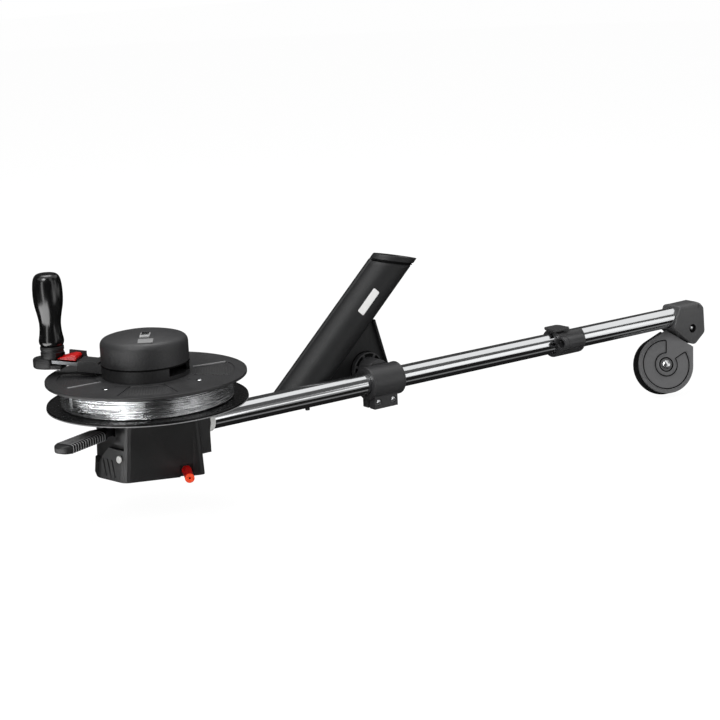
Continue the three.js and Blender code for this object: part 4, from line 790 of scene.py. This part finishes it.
def leverGrip():
    # half width w(s) from neck to grip by a smooth step, closed by a round tip; ribs cut in by depth * (1 - |sin|)
    straight = lever["straight"]
    bend = lever["tip"] * np.sin(np.linspace(0, np.pi / 2, 26))[1:]
    s = np.concatenate([np.linspace(lever["start"], straight, 260), straight + bend])[:, None]
    first, last = lever["shoulder"]
    step = np.clip((s - first) / (last - first), 0, 1)
    tip = np.sqrt(np.clip(1 - (np.maximum(s - straight, 0) / (lever["tip"] + 0.01)) ** 2, 0, 1))
    wide = (lever["neck"] + (lever["half"] - lever["neck"]) * step ** 2 * (3 - 2 * step)) * tip
    thick = lever["thick"] * tip ** 0.45
    low, high = lever["ribs"]
    inside = np.clip((s - low) / 2, 0, 1) * np.clip((high - s) / 2, 0, 1)
    wave = np.abs(np.sin(np.pi * (s - low) / (high - low) * lever["count"])) ** 1.5
    groove = lever["depth"] * inside * (1 - wave)
    y, z = leverSection(wide - groove, thick - groove)
    faces = gridFaces(len(s), lever["around"]) + endFaces(len(s), lever["around"])
    return np.stack([s + 0 * y, y, z], -1).reshape(-1, 3), faces


def leverLines(offset, depth, radius):
    # a thin ring round the grip at each rib, so many ribs further on and so deep under the outline
    low, high = lever["ribs"]
    places = [low + (high - low) * (number + offset) / lever["count"] for number in range(1, lever["count"])]
    y, z = leverSection(lever["half"] - depth, lever["thick"] - depth)
    return joined(*(sweep(np.stack([s + 0 * y, y, z], 1), radius, 5, (1, 0, 0), True)
                    for s in places if s <= lever["lastLine"]))


# dark rings down in the grooves paint shade there, pale rings on the crests paint highlights
addPiece("leverLines", atLever, leverLines(0.0, 0.75, 0.95), darkPartsAndShade, "brake_lever")
addPiece("leverCrestHighlights", atLever, leverLines(0.5, 0.15, 0.6), crestHighlightPlastic, "brake_lever")
eye = turned(oblong(3.3, 7, -5, 5, 0.6, 3), 48)
addPiece("leverShape", atLever, joined(leverGrip(), eye), leverPlastic, "brake_lever", "brake_lever", 50)
print("lever made")

# lock pin: flanged root, fluted barrel, bright end disc round a hole whose floor is a dark disc of painted shade
pin = {"fluted": (1.5, 26.8, 4.5), "flutes": 16, "flute": 0.05}


def flutedPin():
    # on the barrel every radius is shrunk by flute * (0.5 + 0.5 cos (flutes * bearing))
    profile = softened([(0, -32), (4.4, -32), (4.4, -30.8), (3, -30.8), (3, -4.2), (5.2, -4.2), (5.2, 0), (4.9, 1),
                        (4.9, 27.2), (5.15, 27.9), (5.15, 28.5), (4.6, 28.9), (1.1, 28.9), (1.1, 25), (0, 25)],
                       0.3, 2, False)
    points, faces = turned(profile, 96, False)
    low, high, least = pin["fluted"]
    barrel = (points[:, 2] > low) & (points[:, 2] < high) & (np.hypot(points[:, 0], points[:, 1]) > least)
    wave = 0.5 + 0.5 * np.cos(pin["flutes"] * np.arctan2(points[:, 1], points[:, 0]))
    points[:, :2] *= (1 - barrel * pin["flute"] * wave)[:, None]
    return points, faces


addPiece("lockPinShape", atPin, flutedPin(), redPlastic, "lock_pin", "lock_pin", 50)
disc = turned(softened([(1.2, 28.4), (5.0, 28.4), (5.1, 28.9), (4.7, 29), (1.25, 29)], 0.12, 2), 72)
addPiece("lockPinDisc", atPin, disc, orangePlastic, "lock_pin")
addPiece("lockPinHoleShade", atPin, cylinder(1.15, 25.4, 25.7, 24), darkPartsAndShade, "lock_pin")
# the spring behind the pin's ring, which closes up towards its guide as the pin is pulled, keeps its own shape here,
# in a mesh of its own
spring = dressed("lock_spring", plainSteel, 0)
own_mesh(spring)
print("pin made")

# rod holder: tube with slanted ends, collar over a groove, raised double line, blank label, web with a thick edge
holder = {
    "y": 38, "z": 54.1, "outer": 21.8, "inner": 19, "low": -82, "high": 126, "slope": math.tan(math.radians(33.9)),
    "around": 240, "lineAt": math.radians(66), "teeth": 40, "shade": (9.2, 21.7),
}


def onTube(x, r, a):
    # points of the tube: y = r cos a and z = r sin a from its middle line
    return np.stack([x, holder["y"] + r * np.cos(a), holder["z"] + r * np.sin(a)], -1)


def holderTube():
    # around: angle a from local +Y; along: the outside from the low end to the high one and back inside.
    # Each end is the slanted plane x = place - slope * r sin a. The outside gains the collar near the high
    # end, loses the groove below it, and gains two thin lines at the top
    length = holder["high"] - holder["low"]
    a = circle(holder["around"])[None, :]
    gap = np.concatenate([[0, 0.4, 1.0, 2.0], np.linspace(6, 190, 24),
                          [192, 196, 197.4, 198, 198.6, 199.6, 200.2, 201, 204, 207.2, 207.7, 208]])[:, None]
    near = length - gap
    collar = np.interp(near, [0, 0.4, 1.2, 7, 7.8], [0.4, 0.7, 0.8, 0.8, 0.0])
    groove = np.interp(near, [7, 7.8, 8.6, 10.2, 11.2], [0, 0.5, 1.1, 1.1, 0.0])
    toe = np.interp(gap, [0, 0.4, 1.0], [-0.5, -0.1, 0])
    off = np.degrees((a - holder["lineAt"] + np.pi) % (2 * np.pi) - np.pi)
    line = 1.3 * np.exp(-(np.abs(off) / 14) ** 10) - 0.9 * np.exp(-(np.abs(off) / 6) ** 6)
    faded = line * np.interp(near, [0, 7, 9], [0.1, 0.1, 1])
    outside = holder["outer"] + collar + toe + faded - groove * (1 - np.exp(-(off / 17) ** 8))
    back = np.array([1, 0.998, 0.9, 0.6, 0.4, 0.1, 0.002, 0])[:, None]
    inside = holder["inner"] + 0.5 * ((back == 0) | (back == 1)) + 0 * a
    r = np.concatenate([outside, inside])
    share = np.concatenate([gap / length, back])
    x = holder["low"] + length * share - holder["slope"] * r * np.sin(a)
    return onTube(x, r, a).reshape(-1, 3), gridFaces(len(r), holder["around"], wrapRows=True)


webOutline = np.array([(-1.1, 0.72), (-1.1, 0.61), (-0.27, -0.36), (0, -0.45), (0.3, -0.42), (0.44, -0.39),
                       (0.93, 0.57), (0.93, 0.72)]) * holder["z"]
web = moved(sideways, slab(softened(webOutline, 6, 6), -39, -33, 0.6))
webEdge = softened([(23.8, -21.1), (50.3, 30.8), (47.3, 32.2), (20.8, -21.1)], 0.8, 3)
edge = moved(sideways, slab(webEdge, -43, -29, 0.9))
holderShape = moved(atHolder, joined(holderTube(), web, edge))
addPiece("holderShape", home, holderShape, holderPlastic, "rod_holder", "rod_holder", 40)
# the teeth round the web's disc are pale, a painted highlight, between two dark rings of painted shade
tooth = moved(turn("X", -90), block(15.2, 19.2, -0.62, 0.62, 32.1, 33.3))
teeth = [moved(turn("Y", 360 / holder["teeth"] * number), tooth) for number in range(holder["teeth"])]
addPiece("holderTeethHighlight", atHolder, joined(*teeth), paintedHighlightPlastic, "rod_holder")
rings = [sweep(lifted(arc(reach, 0, 355, 72), -32.9), 0.7, 6, closed=True) for reach in (14.4, 20.2)]
addPiece("holderShadeRings", atHolder @ sideways, joined(*rings), darkPartsAndShade, "rod_holder")
# a dark line of painted shade in the groove, parallel to the slanted mouth
a = circle(160)
below, reach = holder["shade"]
mouth = onTube(holder["high"] - below - holder["slope"] * reach * np.sin(a), reach, a)
addPiece("holderGrooveShade", atHolder, sweep(mouth, 0.7, 6, (1, 0, 0.3), True), darkPartsAndShade, "rod_holder")

holderLabel = {"along": 55.0, "around": math.radians(162), "half": (17, 4.3), "reach": 22}


def bentLabel():
    # a thin rounded plate wrapped on the tube: its width becomes the angle y / reach
    long, wide = holderLabel["half"]
    outline = oblong(-long, long, -wide, wide, 1.6, 6)
    rows = np.concatenate([outline * scale for scale in (1.0, 1.0, 0.97, 0.6, 0.2)])
    level = np.repeat([21.4, 22.0, 22.2, 22.2, 22.2], len(outline))
    angle = holderLabel["around"] + rows[:, 1] / holderLabel["reach"]
    count = len(outline)
    faces = gridFaces(5, count) + endFaces(5, count)[1:]
    return onTube(holderLabel["along"] + rows[:, 0], level, angle), faces


addPiece("holderLabel", atHolder, bentLabel(), labelPaint, "rod_holder")
# spoked face of the pivot's disc on the clamp: pockets between ribs, their floor a dark disc of painted shade, inside
# a raised rim
pocket = turned([(14.6, -27.1), (19.3, -27.1), (19.3, -26.8), (14.6, -26.8)], 72)
addPiece("pivotPocketShade", atPivot, pocket, darkPartsAndShade, "frame")
spoke = slab(softened([(14.4, -1.3), (19.4, -1.7), (19.4, 1.7), (14.4, 1.3)], 0.3, 2), -27.0, -25.7, 0.3)
spokes = turnedCopies(spoke, [360 / 7 * number + 8 for number in range(7)])
addPiece("pivotSpokes", atPivot, joined(*spokes), clampPlastic, "frame")
pivotRim = turned(oblong(19.0, 20.3, -27.3, -25.6, 0.3, 3), 96)
addPiece("pivotRim", atPivot, pivotRim, clampPlastic, "frame")
print("rod holder made")

# pulley head plates with a sunk channel and hub, and raised rims. A plate has its inner and outer level, and the
# levels between which it is sunk; its outline's straight sides end at the corners and touch the circle "touch"
head = {
    "radius": 37.4, "touch": 38.3, "corner": (21.3, 39.3), "channel": (15, 31.3, 118, 422), "hub": 8.6,
    "rims": (33.2, 13.2), "rim": 0.55, "line": 0.62, "hubLine": 0.75,
}
plates = {
    "pulley_plate_near": (headPlastic, (8, 11), (10.2, 13), 11, 11.02),
    "pulley_plate_far": (headPaintedShade, (-11, -8), (-13, -10.2), -11, -11.02),
}
x, y = head["corner"]
tangent = math.degrees(math.atan2(y, x) - math.acos(head["touch"] / math.hypot(x, y)))
outline = np.concatenate([arc(head["radius"], 180 - tangent, 360 + tangent, 90), [[x, y], [-x, y]]])
channel = softened(sector(*head["channel"], 60), 2, 3)
for node, (finish, levels, sunk, face, shade) in plates.items():
    plate = addPiece(node + "Shape", atPlate, slab(outline, *levels, 0.7, 3), finish, "pulley_head", node)
    carved(plate, moved(atPlate, slab(channel, *sunk, 0.35)), moved(atPlate, cylinder(head["hub"], *sunk, 48)))
    bevelled(plate, 0.3)
    # dark lines of painted shade along the channel's outline and round the hub
    groove = sweep(lifted(channel, shade), head["line"], 6, closed=True)
    ring = sweep(lifted(arc(head["hub"] + 0.3, 0, 354, 60), shade), head["hubLine"], 6, closed=True)
    addPiece(node + "Lines", atPlate, joined(groove, ring), darkPartsAndShade, "pulley_head")
    rims = [sweep(lifted(arc(reach, *head["channel"][2:], 80), face), head["rim"], 8) for reach in head["rims"]]
    addPiece(node + "Rims", atPlate, joined(*rims), finish, "pulley_head")
wedge = oblong(-17, 17, -7.7, 7.7, 1.5, 4)
addPiece("headBlock", atPulley, slab(wedge, 33, 39.2, 0.5), headPlastic, "pulley_head")
domedScrew("pulley_axle", atPlate, head=5.5, dome=3.4, seat=10.6, tip=-14, shank=3.9, slot=0)
domedScrew("end_cap_bolt", atEndBolt, head=2.9, dome=1.8, seat=13.4, tip=-10, shank=2.2, slot=0.2)
for number, x in ((1, 277.5), (2, 298.5)):
    matrix = shift(x, -30, 28.8) @ sideways
    domedScrew(f"clamp_screw_{number}", matrix, head=3.75, dome=2.6, seat=9.0, tip=-9, shank=2, slot=0.14)
print("pulley head made")

# end cap: flat near side, its top rolled over like the tube inside it; its slanted foot lies along the pulley head,
# that is so far above the pulley's middle in the head's own turned frame
endCap = {"middle": (745, -10.7), "tilt": math.radians(39), "above": 41.6, "foot": (-27.7, 11.7), "half": 16}
cosine, sine = math.cos(endCap["tilt"]), math.sin(endCap["tilt"])
corners = [(endCap["middle"][0] + cosine * x + sine * endCap["above"],
            endCap["middle"][1] - sine * x + cosine * endCap["above"]) for x in endCap["foot"]]
corners += [(788, 12.5), (805.7, 26), (803.5, 60.0), (797.5, 67.2), (762.5, 66.8)]
outline = softened(corners, 3.5, 6)
share = np.linspace(0, 1, 4, endpoint=False)[None, :, None]
dense = (outline[:, None] + (np.roll(outline, -1, 0) - outline)[:, None] * share).reshape(-1, 2)
along = np.roll(dense, -1, 0) - np.roll(dense, 1, 0)
topward = np.clip(-along[:, 0] / np.linalg.norm(along, axis=1), 0, 1)
shell = slab(dense, -endCap["half"], endCap["half"], 1.0 + 9.0 * topward ** 3, 8)
endShape = addPiece("endCapShape", shift(0, -30, 0) @ sideways, shell, endPlastic, "frame", "end_cap", 50)
carved(endShape, moved(alongBoom, cylinder(13, 740, 789.3, 64)), moved(atEndBolt, cylinder(5.6, 13, 18, 48)))
bevelled(endShape, 0.4)
# a dark cup in the bolt's recess paints the shade there
cup = turned(softened([(2.2, 12.8), (5.55, 12.8), (5.55, 16.5), (5.0, 16.6), (4.4, 13.6), (2.2, 13.3)], 0.2, 2), 48)
addPiece("endCapRecessShade", atEndBolt, cup, darkPartsAndShade, "frame")

# wire clip: half sleeve with a pocket, an overhanging top plate and a prong; a sleeve part has two angles round
# the boom and two places along it
clip = {
    "outer": 17.4, "inner": 13.1, "sleeve": ((11, 169, 553, 566.5), (11, 38, 566, 594), (126, 169, 566, 594)),
    "lines": (588.5, 591),
}
sleeve = [slab(sector(clip["inner"], clip["outer"], start, end, 40), low, high, 0.5)
          for start, end, low, high in clip["sleeve"]]
pocket = turned(softened([(5.4, 551), (8.6, 551), (8.6, 584), (0.3, 584), (0.3, 579), (5.4, 579)], 0.6, 3), 56)
band = turned(oblong(8.4, 9.1, 557, 559, 0.3, 2), 56)
topPlate = softened([(550, -13), (572, -13), (575, -7), (575, 9), (572, 13), (553, 13), (550, 8)], 2, 4)
lip = softened([(545, -16.2), (556, -16.2), (556, -13.4), (546, -13.4)], 0.8, 3)
prong = oblong(566, 584, 13, 23, 1.5, 4)
onBoom = joined(slab(topPlate, 15.8, 18.6, 0.6), slab(lip, 3.4, 9, 0.5), slab(prong, 3.2, 9, 0.6))
clipShape = joined(moved(alongBoom @ turn("Z", 90), joined(*sleeve)), moved(atPocket, joined(pocket, band)),
                   moved(atBoom, onBoom))
addPiece("clipShape", home, clipShape, clampPlastic, "frame", "clip_upper", 45)
# a dark disc down in the pocket and two dark lines across the sleeve paint shade
addPiece("clipPocketShade", atPocket, cylinder(5.35, 566, 567, 40), darkPartsAndShade, "frame")
lines = [sweep(lifted(arc(clip["outer"] + 0.05, 100, 143, 20), x), 0.4, 6) for x in clip["lines"]]
addPiece("clipShadeLines", alongBoom, joined(*lines), darkPartsAndShade, "frame")

# slanting ribs on the inboard wall, which draws in towards its top; a rib starts so far along it, and has points
# further along and up
wall = {"corner": (-52.3, -32.1), "run": (-0.204, 0.979), "sunk": 0.9, "draw": 0.15 / 70, "ribs": (16, 23, 30),
        "rib": ((0, 4.0), (3.4, 13.0), (6.8, 22.0)), "radius": 0.9}


def wallRib(start):
    (x, y), (runX, runY) = wall["corner"], wall["run"]
    along, z = np.array(wall["rib"]).T
    x = (x + runX * (start + along) - wall["sunk"] * runY) * (1 - wall["draw"] * z)
    return sweep(np.stack([x, y + runY * (start + along) + wall["sunk"] * runX, z], 1), wall["radius"], 8)


addPiece("wallRibs", home, joined(*(wallRib(start) for start in wall["ribs"])), blackPlastic, "frame")

bands = [turned(oblong(15, 19.15, x, x + 2.6, 0.5, 3), 96) for x in (267.6, 309.7)]
addPiece("clampBands", alongBoom, joined(*bands), clampPlastic, "frame")

# nodes that keep their own shape, with the width of their rims
plainNodes = {
    "base_plate": (blackPlastic, 0.3), "base_screw_1": (plainSteel, 0.3), "base_screw_2": (plainSteel, 0.3),
    "case_screw": (palePlastic, 0.9), "spindle": (plainSteel, 0.4), "spindle_nut": (plainSteel, 0.4),
    "crank_nut": (plainSteel, 0.4), "lever_pin": (plainSteel, 0.4), "counter_base": (blackPlastic, 0.2),
    "counter_window": (windowGlass, 0.2), "counter_axle": (plainSteel, 0), "socket_bolt": (plainSteel, 0.4),
    "socket_nut": (plainSteel, 0.3), "socket_ring": (palePlastic, 0.4), "boom_peg": (blackPlastic, 0.4),
    "rod_clamp": (clampPlastic, 0.5), "rod_pivot_bolt": (plainSteel, 0.5), "clip_lower": (clampPlastic, 0.5),
    "clip_screw": (plainSteel, 0.3), "swivel_bolt": (plainSteel, 0.4), "spool_bush": (palePlastic, 0.2),
    "brake_drum": (drumMetal, 0.3), "wire_core": (wireCore, 0), "clutch_disc": (liningMaterial, 0.1),
    "latch_pin": (darkPartsAndShade, 0.1), "crank_bar": (barSteel, 0.3), "knob_axle": (plainSteel, 0.3),
    "brake_pad": (liningMaterial, 0.2), "pulley_nut": (plainSteel, 0.4), "sheave": (headPaintedShade, 0.3),
    "housing": (blackPlastic, 0.7),
}
for node, (finish, rim) in plainNodes.items():
    dressed(node, finish, rim)
# crank arm: its far fin sinks in a curve between the latch and the ring
arm = dressed("crank_arm", blackPlastic, 0)
scoop = softened([(-37.5, 12), (-35.5, 6.5), (-30, 3.9), (-20, 3.6), (-17.6, 5.2), (-17.2, 12)], 2.5, 6)
carved(arm, moved(atArm @ sideways, slab(scoop, 10.1, 15, 0.1)))
bevelled(arm, 0.4)
print("nodes dressed")

bpy.context.scene.view_settings.view_transform = "Standard"
